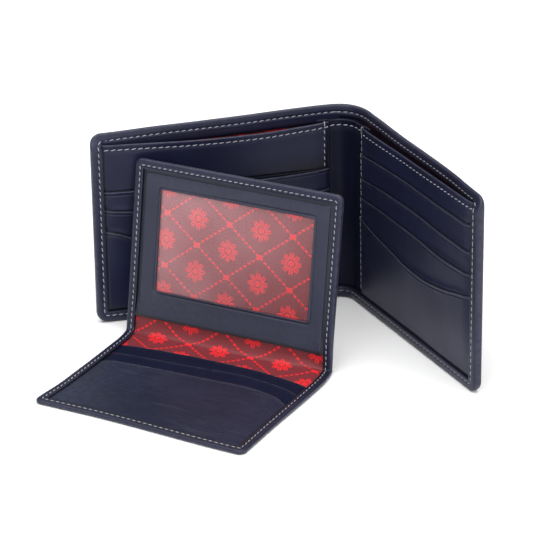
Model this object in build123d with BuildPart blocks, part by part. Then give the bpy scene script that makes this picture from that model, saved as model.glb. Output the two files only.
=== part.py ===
from build123d import *
import os
from math import sin, cos, tan, radians, hypot

os.makedirs("parts", exist_ok=True)

# A two-leaf leather billfold that stands on its lower edge, partly open, with
# its separate two-leaf pass case standing in front of it.
#
# Row frame: +X along the left leaf towards the spine, +Y towards the back
# (outside) of the left leaf, +Z up, origin under the middle of everything.
# All lengths in millimetres, all angles in degrees.

# ---------------------------------------------------------------- billfold
corner_x, corner_y = 60.24, 60.55   # inner corner of the spine, in plan
leaf_turn = 76.5                  # the right leaf's turn away from lying flat
left_w, right_w = 112.0, 110.0    # inner corner to the outer ends
shell_h = 86.5                    # height of the outer shell
panel_h = 83.2                    # height of the inner panels
edge_t = 4.0                      # thickness at the stitched edges
hide_t = 1.2                      # outer hide
turn_t = 0.6                      # extra thickness where the hide is turned in
lining_t = 0.25                   # woven lining
border = 5.0                      # width of the turned border
top_turn = 7.0                    # depth of the turned top edge
corner_r = 5.0                    # rounded outer corners
crease = 6.0                      # inner corner to each crease line
crease_gap = 0.3                  # running gap on each side of a crease

# top rim of the outer shell: (distance along the leaf, depth behind the front)
left_rim = [(-112.0, 4.0), (-105.0, 4.1), (-95.0, 5.0), (-85.0, 6.0), (-64.0, 7.1),
            (-43.0, 8.8), (-22.0, 11.1), (-6.3, 11.9)]
right_rim = [(6.3, 8.4), (13.7, 8.1), (25.0, 7.3), (37.6, 6.6), (58.0, 6.3),
             (79.5, 5.5), (96.0, 4.3), (110.0, 4.0)]

panel_t = 0.75                    # inner panels
pocket_t = 0.40                   # pared pocket leather
pocket_step = 0.45                # pocket to pocket
mouth_pass = 61.0                 # pocket mouths, height above the floor
mouth_left = (51.5, 42.0)
mouth_right = (72.6, 61.5, 51.5, 42.0)
mouth_dip = 7.0                   # how far the lowest mouth sweeps down
seam_left, seam_right = -8.2, 10.6

# --------------------------------------------------------------- pass case
case_x, case_y = -101.5, -12.7    # left end of the fold, from the spine corner
case_yaw = 40.6                   # the fold line's turn from the left leaf
case_w = 97.5
base_l = 76.5
lid_h = 77.3
lid_lean = 9.8                    # the upper leaf leans back from upright
case_t = 2.8
case_border = 5.0
case_corner = 3.0
knuckle = 1.2                     # hinge line's stand-off from both inner faces
frame_foot = 9.3                  # lower edge of the window frame, up the lid
window_w, window_h = 72.4, 44.6
window_x, window_y = 49.7, 43.5   # middle of the window on the lid

# ------------------------------------------------------------------ stitching
inset = 3.3                       # stitch line to edge
thread_w, thread_t = 0.6, 0.15

# ------------------------------------------------------------------- planes
turn = radians(leaf_turn)
half = radians(leaf_turn / 2)
corner = Vector(corner_x, corner_y, 0)

right_dir = Vector(cos(turn), -sin(turn), 0)
right_back = Vector(sin(turn), cos(turn), 0)
chord_dir = Vector(cos(half), -sin(half), 0)
chord_back = Vector(sin(half), cos(half), 0)
chord = 2 * crease * cos(half)
hinge_left = corner + Vector(-crease, 0, 0)

left_face = Plane(origin=corner, x_dir=(1, 0, 0), z_dir=(0, -1, 0))
right_face = Plane(origin=corner, x_dir=right_dir, z_dir=right_back * -1)
spine_plan = Plane(origin=hinge_left, x_dir=chord_dir, z_dir=(0, 0, 1))


def across_left(x):
    """Section plane of the left leaf: x is depth behind the front, y is height."""
    return Plane(origin=corner + Vector(x, 0, 0), x_dir=(0, 1, 0), z_dir=(1, 0, 0))


def across_right(s):
    """Section plane of the right leaf."""
    return Plane(origin=corner + right_dir * s, x_dir=right_back, z_dir=right_dir)


def across_spine(u):
    """Section plane of the spine strip."""
    return Plane(origin=hinge_left + chord_dir * u, x_dir=chord_back, z_dir=chord_dir)


def rim_at(rim, x):
    """Depth of the rim at a distance along the leaf."""
    for (x0, d0), (x1, d1) in zip(rim, rim[1:]):
        if x0 <= x <= x1:
            return d0 + (d1 - d0) * (x - x0) / (x1 - x0)
    return rim[0][1] if x < rim[0][0] else rim[-1][1]


def wall_section(rim, foot=edge_t):
    """Outer hide: foot at the floor, flared out to the rim, turned in at the top."""
    z = shell_h - top_turn
    d = foot + (rim - foot) * z / shell_h
    return [(foot, 0), (rim, shell_h), (rim - hide_t - turn_t, shell_h),
            (d - hide_t - turn_t, z), (d - hide_t, z), (foot - hide_t, 0)]


def lining_section(rim, foot=edge_t):
    """Lining that lies 0.05 inside the hide."""
    z0, z1 = border + 0.2, shell_h - top_turn - 0.2
    a = foot + (rim - foot) * z0 / shell_h - hide_t - 0.05
    b = foot + (rim - foot) * z1 / shell_h - hide_t - 0.05
    return [(a, z0), (b, z1), (b - lining_t, z1), (a - lining_t, z0)]


# ================================================================ left leaf
with BuildPart() as left_cover:
    for x, d in left_rim:
        with BuildSketch(across_left(x)):
            with BuildLine():
                Polyline(*wall_section(d), close=True)
            make_face()
    loft(ruled=True)
    for z, k in ((0, 1), (shell_h, -1)):
        with BuildSketch(left_face.offset(2)):
            with Locations((-left_w + corner_r / 2, z + k * corner_r / 2)):
                Rectangle(corner_r, corner_r)
            with Locations((-left_w + corner_r, z + k * corner_r)):
                Circle(corner_r, mode=Mode.SUBTRACT)
        extrude(amount=-20, mode=Mode.SUBTRACT)

with BuildPart() as left_turned_edge:
    with BuildSketch(left_face.offset(-(edge_t - hide_t - 0.05))):
        with BuildLine():
            Polyline((-crease - crease_gap, 0), (-left_w, 0), (-left_w, panel_h + 0.6),
                     (-left_w + border, panel_h + 0.6), (-left_w + border, border),
                     (-crease - crease_gap, border), close=True)
        face = make_face()
        fillet(face.vertices().group_by(Axis.Z)[0].sort_by(Axis.X)[0], corner_r)
    extrude(amount=edge_t - hide_t - 0.05)
    with BuildSketch(left_face.offset(-3)):            # room for the turned top edge
        with Locations((-left_w + border / 2, shell_h - top_turn / 2)):
            Rectangle(border, top_turn + 0.4)
    extrude(amount=0.9, mode=Mode.SUBTRACT)

with BuildPart() as left_bill_lining:
    for x in (-106.8, -105.0, -95.0, -85.0, -64.0, -43.0, -22.0, -6.5):
        with BuildSketch(across_left(x)):
            with BuildLine():
                Polyline(*lining_section(rim_at(left_rim, x)), close=True)
            make_face()
    loft(ruled=True)

left_x0, left_x1 = -left_w + border + 0.2, -crease - crease_gap
left_mid, left_len = (left_x0 + left_x1) / 2, left_x1 - left_x0

with BuildPart() as left_panel_lining:
    with BuildSketch(left_face.offset(-2.05)):
        with Locations((left_mid, (border + 79.2) / 2)):
            Rectangle(left_len, 79.0 - border)
    extrude(amount=lining_t)

with BuildPart() as left_inner_panel:
    with BuildSketch(left_face.offset(-1.75)):
        with Locations((left_mid, (border + 0.2 + panel_h) / 2)):
            Rectangle(left_len, panel_h - border - 0.2)
    extrude(amount=panel_t)

with BuildPart() as left_pass_pocket:
    with BuildSketch(left_face.offset(-0.95)):
        with BuildLine():
            Line((left_x0, mouth_pass), (left_x0, border + 0.2))
            Line((left_x0, border + 0.2), (seam_left, border + 0.2))
            Line((seam_left, border + 0.2), (seam_left, mouth_pass))
            ThreePointArc((seam_left, mouth_pass), ((left_x0 + seam_left) / 2, mouth_pass - 1.5),
                          (left_x0, mouth_pass))
        make_face()
    extrude(amount=pocket_t)

with BuildPart() as left_card_pocket_upper:
    with BuildSketch(left_face.offset(-0.95 + pocket_step)):
        with BuildLine():
            Line((left_x0, mouth_left[0]), (left_x0, border + 0.2))
            Line((left_x0, border + 0.2), (seam_left, border + 0.2))
            Line((seam_left, border + 0.2), (seam_left, mouth_left[0]))
            ThreePointArc((seam_left, mouth_left[0]),
                          ((left_x0 + seam_left) / 2, mouth_left[0] - 1.5),
                          (left_x0, mouth_left[0]))
        make_face()
    extrude(amount=pocket_t)

with BuildPart() as left_card_pocket_lower:
    with BuildSketch(left_face.offset(-0.95 + 2 * pocket_step)):
        with BuildLine():
            Line((left_x0, mouth_left[1]), (left_x0, border + 0.2))
            Line((left_x0, border + 0.2), (seam_left, border + 0.2))
            Line((seam_left, border + 0.2), (seam_left, mouth_left[1]))
            ThreePointArc((seam_left, mouth_left[1]),
                          ((left_x0 + seam_left) / 2, mouth_left[1] - mouth_dip),
                          (left_x0, mouth_left[1]))
        make_face()
    extrude(amount=pocket_t)

with BuildPart() as left_stitching:
    with BuildSketch(left_face):                       # down the end and along the foot
        with Locations((-left_w + inset, (inset + panel_h) / 2)):
            Rectangle(thread_w, panel_h - inset - 2.0)
        with Locations(((-left_w + inset - crease - 1.0) / 2, inset)):
            Rectangle(left_w - inset - crease - 1.0, thread_w)
    extrude(amount=thread_t)
    with BuildSketch(left_face.offset(-1.0)):          # along the panel's top edge
        with Locations(((left_x0 + seam_left) / 2, panel_h - 2.9)):
            Rectangle(seam_left - left_x0 - 1.0, thread_w)
        with Locations((-10.2, (mouth_pass + panel_h) / 2)):
            Rectangle(thread_w, panel_h - mouth_pass - 2.0)
    extrude(amount=thread_t)

# ==================================================================== spine
spine_profile = [(0.25, 4.0, 12.7), (4.7, 6.1, 12.4), (chord - 0.25, 4.0, 10.4)]

with BuildPart() as spine_cover:
    for u, foot, rim in spine_profile:
        with BuildSketch(across_spine(u)):
            with BuildLine():
                Polyline(*wall_section(rim, foot), close=True)
            make_face()
    loft(ruled=True)

with BuildPart() as spine_bill_lining:
    for u, foot, rim in ((0.45, 4.1, 12.7), (4.7, 6.1, 12.4), (chord - 0.45, 4.1, 10.4)):
        with BuildSketch(across_spine(u)):
            with BuildLine():
                Polyline(*lining_section(rim, foot), close=True)
            make_face()
    loft(ruled=True)

with BuildPart() as spine_gusset:
    with BuildSketch(spine_plan):
        with BuildLine():
            ThreePointArc((crease_gap, 0.15), (chord / 2, 2.1), (chord - crease_gap, 0.15))
            Line((chord - crease_gap, 0.15), (chord - crease_gap, 1.05))
            ThreePointArc((chord - crease_gap, 1.05), (chord / 2, 3.0), (crease_gap, 1.05))
            Line((crease_gap, 1.05), (crease_gap, 0.15))
        make_face()
    extrude(amount=panel_h)

with BuildPart() as spine_stitching:
    with BuildSketch(spine_plan.offset(panel_h - 3.2)):
        with BuildLine():
            ThreePointArc((crease_gap + 0.5, 0.24), (chord / 2, 1.95), (chord - crease_gap - 0.5, 0.24))
            Line((chord - crease_gap - 0.5, 0.24), (chord - crease_gap - 0.5, 0.0))
            ThreePointArc((chord - crease_gap - 0.5, 0.0), (chord / 2, 1.7), (crease_gap + 0.5, 0.0))
            Line((crease_gap + 0.5, 0.0), (crease_gap + 0.5, 0.24))
        make_face()
    extrude(amount=thread_w)

# =============================================================== right leaf
right_x0, right_x1 = crease + crease_gap, right_w - border - 0.2
right_mid, right_len = (right_x0 + right_x1) / 2, right_x1 - right_x0

with BuildPart() as right_cover:
    for s, d in right_rim:
        with BuildSketch(across_right(s)):
            with BuildLine():
                Polyline(*wall_section(d), close=True)
            make_face()
    loft(ruled=True)
    for z, k in ((0, 1), (shell_h, -1)):
        with BuildSketch(right_face.offset(2)):
            with Locations((right_w - corner_r / 2, z + k * corner_r / 2)):
                Rectangle(corner_r, corner_r)
            with Locations((right_w - corner_r, z + k * corner_r)):
                Circle(corner_r, mode=Mode.SUBTRACT)
        extrude(amount=-20, mode=Mode.SUBTRACT)

with BuildPart() as right_turned_edge:
    with BuildSketch(right_face.offset(-(edge_t - hide_t - 0.05))):
        with BuildLine():
            Line((right_x0, 0), (right_w - corner_r, 0))
            RadiusArc((right_w - corner_r, 0), (right_w, corner_r), -corner_r)
            Polyline((right_w, corner_r), (right_w, panel_h + 0.6),
                     (right_w - border, panel_h + 0.6), (right_w - border, border),
                     (right_x0, border), (right_x0, 0))
        make_face()
    extrude(amount=edge_t - hide_t - 0.05)
    with BuildSketch(right_face.offset(-3)):
        with Locations((right_w - border / 2, shell_h - top_turn / 2)):
            Rectangle(border, top_turn + 0.4)
    extrude(amount=0.9, mode=Mode.SUBTRACT)

with BuildPart() as right_bill_lining:
    for s in (6.5, 13.7, 25.0, 37.6, 58.0, 79.5, 96.0, 104.8):
        with BuildSketch(across_right(s)):
            with BuildLine():
                Polyline(*lining_section(rim_at(right_rim, s)), close=True)
            make_face()
    loft(ruled=True)

with BuildPart() as right_panel_lining:
    with BuildSketch(right_face.offset(-2.05)):
        with Locations((right_mid, (border + 79.2) / 2)):
            Rectangle(right_len, 79.0 - border)
    extrude(amount=lining_t)

with BuildPart() as right_inner_panel:
    with BuildSketch(right_face.offset(-1.75)):
        with Locations((right_mid, (border + 0.2 + panel_h) / 2)):
            Rectangle(right_len, panel_h - border - 0.2)
    extrude(amount=panel_t)

with BuildPart() as right_card_pocket_1:
    with BuildSketch(right_face.offset(-0.95)):
        with Locations(((seam_right + right_x1) / 2, (border + 0.2 + mouth_right[0]) / 2)):
            Rectangle(right_x1 - seam_right, mouth_right[0] - border - 0.2)
    extrude(amount=pocket_t)

with BuildPart() as right_card_pocket_2:
    with BuildSketch(right_face.offset(-0.95 + pocket_step)):
        with Locations(((seam_right + right_x1) / 2, (border + 0.2 + mouth_right[1]) / 2)):
            Rectangle(right_x1 - seam_right, mouth_right[1] - border - 0.2)
    extrude(amount=pocket_t)

with BuildPart() as right_card_pocket_3:
    with BuildSketch(right_face.offset(-0.95 + 2 * pocket_step)):
        with Locations(((seam_right + right_x1) / 2, (border + 0.2 + mouth_right[2]) / 2)):
            Rectangle(right_x1 - seam_right, mouth_right[2] - border - 0.2)
    extrude(amount=pocket_t)

with BuildPart() as right_card_pocket_4:
    with BuildSketch(right_face.offset(-0.95 + 3 * pocket_step)):
        with BuildLine():
            Line((seam_right, mouth_right[3]), (seam_right, border + 0.2))
            Line((seam_right, border + 0.2), (right_x1, border + 0.2))
            Line((right_x1, border + 0.2), (right_x1, mouth_right[3]))
            ThreePointArc((right_x1, mouth_right[3]),
                          ((right_x1 + seam_right) / 2, mouth_right[3] - mouth_dip),
                          (seam_right, mouth_right[3]))
        make_face()
    extrude(amount=pocket_t)

with BuildPart() as right_stitching:
    with BuildSketch(right_face):
        with Locations((right_w - inset, (inset + panel_h) / 2)):
            Rectangle(thread_w, panel_h - inset - 2.0)
        with Locations(((right_w - inset + crease + 1.0) / 2, inset)):
            Rectangle(right_w - inset - crease - 1.0, thread_w)
    extrude(amount=thread_t)
    with BuildSketch(right_face.offset(-1.0)):
        with Locations(((right_x1 + seam_right) / 2, panel_h - 2.9)):
            Rectangle(right_x1 - seam_right - 1.0, thread_w)
    extrude(amount=thread_t)

# ================================================================ pass case
yaw = radians(case_yaw)
lean = radians(lid_lean)
along = Vector(cos(yaw), -sin(yaw), 0)            # along the fold
ahead = Vector(-sin(yaw), -cos(yaw), 0)           # out over the lower leaf
fold_end = corner + Vector(case_x, case_y, 0)
lid_up = ahead * -sin(lean) + Vector(0, 0, cos(lean))
lid_front = ahead * cos(lean) + Vector(0, 0, sin(lean))

base_plan = Plane(origin=fold_end, x_dir=along, z_dir=(0, 0, 1))       # y is -ahead
lid_face = Plane(origin=fold_end, x_dir=along, z_dir=lid_front)        # y is up the lid
fold_side = Plane(origin=fold_end + along * case_w, x_dir=ahead, z_dir=along * -1)

# hinge line: knuckle above the lower leaf's face and in front of the lid's
hinge_z = case_t + knuckle
hinge_v = (knuckle - hinge_z * sin(lean)) / cos(lean)
lid_foot = -hinge_v * sin(lean) + hinge_z * cos(lean) + 0.15
base_foot = hinge_v + 0.15
fold_r = case_t + knuckle
recess = case_t - hide_t

with BuildPart() as case_base_cover:
    with BuildSketch(base_plan) as base_outline:
        with Locations((case_w / 2, -(base_foot + base_l) / 2)):
            Rectangle(case_w, base_l - base_foot)
        fillet(base_outline.vertices().group_by(Axis.Y)[0], case_corner)
    extrude(amount=case_t)
    with BuildSketch(base_plan.offset(hide_t)):
        with Locations((case_w / 2, -(base_foot - 10 + base_l - case_border) / 2)):
            Rectangle(case_w - 2 * case_border, base_l - case_border - base_foot + 10)
    extrude(amount=case_t, mode=Mode.SUBTRACT)

with BuildPart() as case_fold_cover:
    with BuildSketch(fold_side):
        with Locations((hinge_v, hinge_z)):
            Circle(fold_r)
            Circle(fold_r - hide_t, mode=Mode.SUBTRACT)
        with BuildLine():
            Polyline((hinge_v, hinge_z), (hinge_v, hinge_z - 9),
                     (hinge_v - 9 * sin(radians(90)), hinge_z - 9),
                     (hinge_v - 9 * cos(radians(lid_lean + 2.5)),
                      hinge_z - 9 * sin(radians(lid_lean + 2.5))), close=True)
        make_face(mode=Mode.INTERSECT)
    extrude(amount=case_w)
    for start in (0, case_w - case_border):
        with BuildSketch(fold_side.offset(start)):
            with Locations((hinge_v, hinge_z)):
                Circle(fold_r - hide_t)
                Circle(knuckle + 0.1, mode=Mode.SUBTRACT)
            with BuildLine():
                Polyline((hinge_v, hinge_z), (hinge_v, hinge_z - 9),
                         (hinge_v - 9 * sin(radians(90)), hinge_z - 9),
                         (hinge_v - 9 * cos(radians(lid_lean + 2.5)),
                          hinge_z - 9 * sin(radians(lid_lean + 2.5))), close=True)
            make_face(mode=Mode.INTERSECT)
        extrude(amount=case_border)

inner_w = case_w - 2 * case_border - 0.4

with BuildPart() as case_fold_lining:
    with BuildSketch(fold_side.offset(case_border + 0.2)):
        with Locations((hinge_v, hinge_z)):
            Circle(fold_r - hide_t - 0.05)
            Circle(fold_r - hide_t - 0.05 - lining_t, mode=Mode.SUBTRACT)
        with BuildLine():
            Polyline((hinge_v, hinge_z), (hinge_v, hinge_z - 9),
                     (hinge_v - 9 * sin(radians(90)), hinge_z - 9),
                     (hinge_v - 9 * cos(radians(lid_lean + 4)),
                      hinge_z - 9 * sin(radians(lid_lean + 4))), close=True)
        make_face(mode=Mode.INTERSECT)
    extrude(amount=inner_w)

with BuildPart() as case_base_lining:
    with BuildSketch(base_plan.offset(hide_t + 0.05)):
        with Locations((case_w / 2, -(base_foot + 0.1 + base_l - case_border - 0.2) / 2)):
            Rectangle(inner_w, base_l - case_border - 0.3 - base_foot)
    extrude(amount=lining_t)

u0, u1 = case_border + 0.2, case_w - case_border - 0.2
v1 = base_l - case_border - 0.2

with BuildPart() as case_pocket_back:
    with BuildSketch(base_plan.offset(1.55)):
        with BuildLine():
            Polyline((u0, -15.5), (u0, -v1), (u1, -v1), (u1, -16.5))
            ThreePointArc((u1, -16.5), (case_w / 2, -12.4), (u0, -15.5))
        make_face()
    extrude(amount=0.35)

with BuildPart() as case_pocket_middle:
    with BuildSketch(base_plan.offset(1.95)):
        with BuildLine():
            Polyline((u0, -23.5), (u0, -v1), (u1, -v1), (u1, -24.5))
            ThreePointArc((u1, -24.5), (case_w / 2, -20.3), (u0, -23.5))
        make_face()
    extrude(amount=0.35)

with BuildPart() as case_pocket_front:
    with BuildSketch(base_plan.offset(2.35)):
        with BuildLine():
            Polyline((u0, -31.5), (u0, -v1), (u1, -v1), (u1, -33.5))
            ThreePointArc((u1, -33.5), (case_w / 2, -28.0), (u0, -31.5))
        make_face()
    extrude(amount=0.4)

with BuildPart() as case_base_stitching:
    with BuildSketch(base_plan.offset(case_t)):
        for u in (inset - 0.2, case_w - inset + 0.2):
            with Locations((u, -(base_foot + base_l - inset) / 2)):
                Rectangle(thread_w, base_l - inset - base_foot)
        with Locations((case_w / 2, -(base_l - inset + 0.2))):
            Rectangle(case_w - 2 * inset + 0.4, thread_w)
    extrude(amount=thread_t)

with BuildPart() as case_lid_cover:
    with BuildSketch(lid_face.offset(-case_t)) as lid_outline:
        with Locations((case_w / 2, (lid_foot + lid_h) / 2)):
            Rectangle(case_w, lid_h - lid_foot)
        fillet(lid_outline.vertices().group_by(Axis.Y)[-1], case_corner)
    extrude(amount=case_t)
    with BuildSketch(lid_face.offset(-recess)):
        with Locations((case_w / 2, (lid_foot - 10 + lid_h - case_border) / 2)):
            Rectangle(case_w - 2 * case_border, lid_h - case_border - lid_foot + 10)
    extrude(amount=case_t, mode=Mode.SUBTRACT)

with BuildPart() as case_lid_lining:
    with BuildSketch(lid_face.offset(-recess + 0.05)):
        with Locations((case_w / 2, (lid_foot + 0.1 + lid_h - case_border - 0.2) / 2)):
            Rectangle(inner_w, lid_h - case_border - 0.3 - lid_foot)
    extrude(amount=lining_t)

with BuildPart() as case_clear_window:
    with BuildSketch(lid_face.offset(-1.25)):
        with Locations((window_x, window_y)):
            RectangleRounded(window_w + 8, window_h + 8, 2)
    extrude(amount=0.3)

with BuildPart() as case_window_frame:
    with BuildSketch(lid_face.offset(-0.9)):
        with Locations((case_w / 2, (frame_foot + lid_h - case_border - 0.2) / 2)):
            Rectangle(inner_w, lid_h - case_border - 0.2 - frame_foot)
        with Locations((window_x, window_y)):
            RectangleRounded(window_w, window_h, 0.8, mode=Mode.SUBTRACT)
    extrude(amount=0.6)

with BuildPart() as case_lid_stitching:
    with BuildSketch(lid_face):
        for u in (inset - 0.2, case_w - inset + 0.2):
            with Locations((u, (lid_foot + lid_h - inset + 0.2) / 2)):
                Rectangle(thread_w, lid_h - inset - lid_foot)
        with Locations((case_w / 2, lid_h - inset + 0.2)):
            Rectangle(case_w - 2 * inset + 0.4, thread_w)
    extrude(amount=thread_t)

# ================================================================== write
pieces = {
    "left_cover": left_cover, "left_turned_edge": left_turned_edge,
    "left_bill_lining": left_bill_lining, "left_panel_lining": left_panel_lining,
    "left_inner_panel": left_inner_panel, "left_pass_pocket": left_pass_pocket,
    "left_card_pocket_upper": left_card_pocket_upper,
    "left_card_pocket_lower": left_card_pocket_lower, "left_stitching": left_stitching,
    "spine_cover": spine_cover, "spine_bill_lining": spine_bill_lining,
    "spine_gusset": spine_gusset, "spine_stitching": spine_stitching,
    "right_cover": right_cover, "right_turned_edge": right_turned_edge,
    "right_bill_lining": right_bill_lining, "right_panel_lining": right_panel_lining,
    "right_inner_panel": right_inner_panel, "right_card_pocket_1": right_card_pocket_1,
    "right_card_pocket_2": right_card_pocket_2, "right_card_pocket_3": right_card_pocket_3,
    "right_card_pocket_4": right_card_pocket_4, "right_stitching": right_stitching,
    "case_base_cover": case_base_cover, "case_fold_cover": case_fold_cover,
    "case_fold_lining": case_fold_lining, "case_base_lining": case_base_lining,
    "case_pocket_back": case_pocket_back, "case_pocket_middle": case_pocket_middle,
    "case_pocket_front": case_pocket_front, "case_base_stitching": case_base_stitching,
    "case_lid_cover": case_lid_cover, "case_lid_lining": case_lid_lining,
    "case_clear_window": case_clear_window, "case_window_frame": case_window_frame,
    "case_lid_stitching": case_lid_stitching,
}
for name, piece in pieces.items():
    piece.part.label = name
    export_step(piece.part, f"parts/{name}.step")

whole = Compound(children=[p.part for p in pieces.values()]).bounding_box()
print("box", whole.min, whole.max, "middle", whole.center())
print("left crease", hinge_left, "right crease", hinge_left + chord_dir * chord)
print("case hinge", fold_end + ahead * hinge_v + Vector(0, 0, hinge_z), "axis", along)
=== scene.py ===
from math import sin, cos, pi, radians, sqrt

import bpy
import bmesh
import numpy as np
from mathutils import Matrix


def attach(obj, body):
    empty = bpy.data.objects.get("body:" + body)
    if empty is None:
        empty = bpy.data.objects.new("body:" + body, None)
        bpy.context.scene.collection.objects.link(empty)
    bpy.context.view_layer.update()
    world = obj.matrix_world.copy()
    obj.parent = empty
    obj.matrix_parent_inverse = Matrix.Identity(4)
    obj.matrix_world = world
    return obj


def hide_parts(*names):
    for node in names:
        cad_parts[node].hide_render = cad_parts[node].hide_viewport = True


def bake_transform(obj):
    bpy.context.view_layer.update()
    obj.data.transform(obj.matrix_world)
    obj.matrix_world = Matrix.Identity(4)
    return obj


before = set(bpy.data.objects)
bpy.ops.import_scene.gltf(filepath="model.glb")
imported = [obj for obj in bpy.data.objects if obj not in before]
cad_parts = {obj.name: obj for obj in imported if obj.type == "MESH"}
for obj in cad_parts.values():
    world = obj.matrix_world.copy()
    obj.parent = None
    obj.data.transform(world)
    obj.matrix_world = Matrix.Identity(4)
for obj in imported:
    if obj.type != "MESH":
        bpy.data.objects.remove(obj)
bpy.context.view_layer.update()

# Everything below is worked out in millimetres in the row frame and turned
# into metres when a mesh is made.  Each leaf has flat leather coordinates
# (p along, q up) and c, the height towards the inner, visible side.

MM = 0.001


# ------------------------------------------------------------------ camera
def look_through():
    right = (0.973430, -0.228690, -0.012000)
    up = (0.104760, 0.398110, 0.911340)
    fwd = (0.203630, 0.888370, -0.411490)
    data = bpy.data.cameras.new("camera")
    data.sensor_width = 36.0
    data.sensor_fit = "HORIZONTAL"
    data.lens = 193.94
    data.clip_start, data.clip_end = 0.05, 30.0
    cam = bpy.data.objects.new("camera", data)
    bpy.context.scene.collection.objects.link(cam)
    r, f = np.array(right), np.array(fwd)
    f /= np.linalg.norm(f)
    r -= f * (r @ f)
    r /= np.linalg.norm(r)
    u = np.cross(r, f)
    m = Matrix.Identity(4)
    for i in range(3):
        m[i][0], m[i][1], m[i][2] = r[i], u[i], -f[i]
    m[0][3], m[1][3], m[2][3] = -0.23614, -1.08869, 0.54641
    cam.matrix_world = m
    bpy.context.scene.camera = cam


look_through()


# ------------------------------------------------------------ small helpers
def ss(a, b, x):
    t = np.clip((np.asarray(x, float) - a) / (b - a), 0, 1)
    return t * t * (3 - 2 * t)


def bell(x, mid, width):
    return np.exp(-(((np.asarray(x, float) - mid) / width) ** 2))


def smooth_through(points):
    """Monotone cubic through (x, y) points."""
    x = np.array([a for a, _ in points], float)
    y = np.array([b for _, b in points], float)
    h = np.diff(x)
    d = np.diff(y) / h
    m = np.zeros(len(x))
    m[0], m[-1] = d[0], d[-1]
    for i in range(1, len(x) - 1):
        if d[i - 1] * d[i] > 0:
            w1, w2 = 2 * h[i] + h[i - 1], h[i] + 2 * h[i - 1]
            m[i] = (w1 + w2) / (w1 / d[i - 1] + w2 / d[i])

    def at(v):
        v = np.clip(np.asarray(v, float), x[0], x[-1])
        k = np.clip(np.searchsorted(x, v, side="right") - 1, 0, len(x) - 2)
        t = (v - x[k]) / h[k]
        return (y[k] * (1 + 2 * t) * (1 - t) ** 2 + m[k] * h[k] * t * (1 - t) ** 2
                + y[k + 1] * t * t * (3 - 2 * t) + m[k + 1] * h[k] * t * t * (t - 1))
    return at


class Heap:
    """Vertices, faces, flat leather coordinates and wear, with painted shade and painted sheen, of one mesh."""

    def __init__(self):
        self.v, self.uv, self.wear, self.f, self.n = [], [], [], [], 0

    def add(self, v, uv, wear=0.0):
        v = np.asarray(v, float).reshape(-1, 3)
        base = self.n
        self.v.append(v)
        self.uv.append(np.asarray(uv, float).reshape(-1, 2) * MM)
        self.wear.append(np.broadcast_to(np.asarray(wear, float).reshape(-1), (len(v),)).copy())
        self.n += len(v)
        return base

    def strip(self, a, b, count, closed=True):
        last = count if closed else count - 1
        for i in range(last):
            j = (i + 1) % count
            self.f.append((a + i, a + j, b + j, b + i))

    def grid(self, base, nu, nv):
        for i in range(nu - 1):
            for j in range(nv - 1):
                k = base + i * nv + j
                self.f.append((k, k + nv, k + nv + 1, k + 1))


def tone(heap, change):
    """Lighten (plus) or darken (minus) a region of a heap through its wear value, by where its points lie in mm; used
    for painted shade and painted sheen.
    """
    for v, w in zip(heap.v, heap.wear):
        w += change(v[:, 0], v[:, 1], v[:, 2])


def make(name, heap, material, sharp=38.0, keep=None, seam=None, merge=2e-6):
    """A mesh object from a heap.  keep picks faces by the mean of their points."""
    v = np.concatenate(heap.v) * MM
    uv = np.concatenate(heap.uv)
    wear = np.concatenate(heap.wear)
    bm = bmesh.new()
    layer = bm.verts.layers.float.new("wear")
    verts = [bm.verts.new(p) for p in v]
    for p, w in zip(verts, wear):
        p[layer] = w
    bm.verts.index_update()
    uvl = bm.loops.layers.uv.new("flat")
    for f in heap.f:
        try:
            face = bm.faces.new([verts[i] for i in f])
        except ValueError:
            continue
        for loop, i in zip(face.loops, f):
            loop[uvl].uv = uv[i]
    bmesh.ops.remove_doubles(bm, verts=bm.verts, dist=merge)
    bmesh.ops.dissolve_degenerate(bm, edges=bm.edges, dist=merge)
    loose = [p for p in bm.verts if not p.link_faces]
    if loose:
        bmesh.ops.delete(bm, geom=loose, context="VERTS")
    bmesh.ops.recalc_face_normals(bm, faces=bm.faces)
    for f in bm.faces:
        f.smooth = True
    mesh = bpy.data.meshes.new(name)
    if keep is None:
        bm.to_mesh(mesh)
        bm.free()
        mesh.set_sharp_from_angle(angle=radians(sharp))
    else:
        bm.normal_update()
        on_seam = {}
        gone = [f for f in bm.faces if not keep(f.calc_center_median())]
        for p in bm.verts:
            if seam(p.co):
                on_seam[(round(p.co.x, 7), round(p.co.y, 7), round(p.co.z, 7))] = p.normal.copy()
        bmesh.ops.delete(bm, geom=gone, context="FACES")
        rim = [e for e in bm.edges if len(e.link_faces) == 1]
        filled = bmesh.ops.edgeloop_fill(bm, edges=rim)["faces"]
        bmesh.ops.recalc_face_normals(bm, faces=bm.faces)
        bm.to_mesh(mesh)
        bm.free()
        mesh.set_sharp_from_angle(angle=radians(sharp))
        custom = [(0.0, 0.0, 0.0)] * len(mesh.vertices)
        for i, p in enumerate(mesh.vertices):
            n = on_seam.get((round(p.co.x, 7), round(p.co.y, 7), round(p.co.z, 7)))
            if n is not None:
                custom[i] = n
        mesh.normals_split_custom_set_from_vertices(custom)
    obj = bpy.data.objects.new(name, mesh)
    bpy.context.scene.collection.objects.link(obj)
    mesh.materials.append(material)
    return obj


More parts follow.
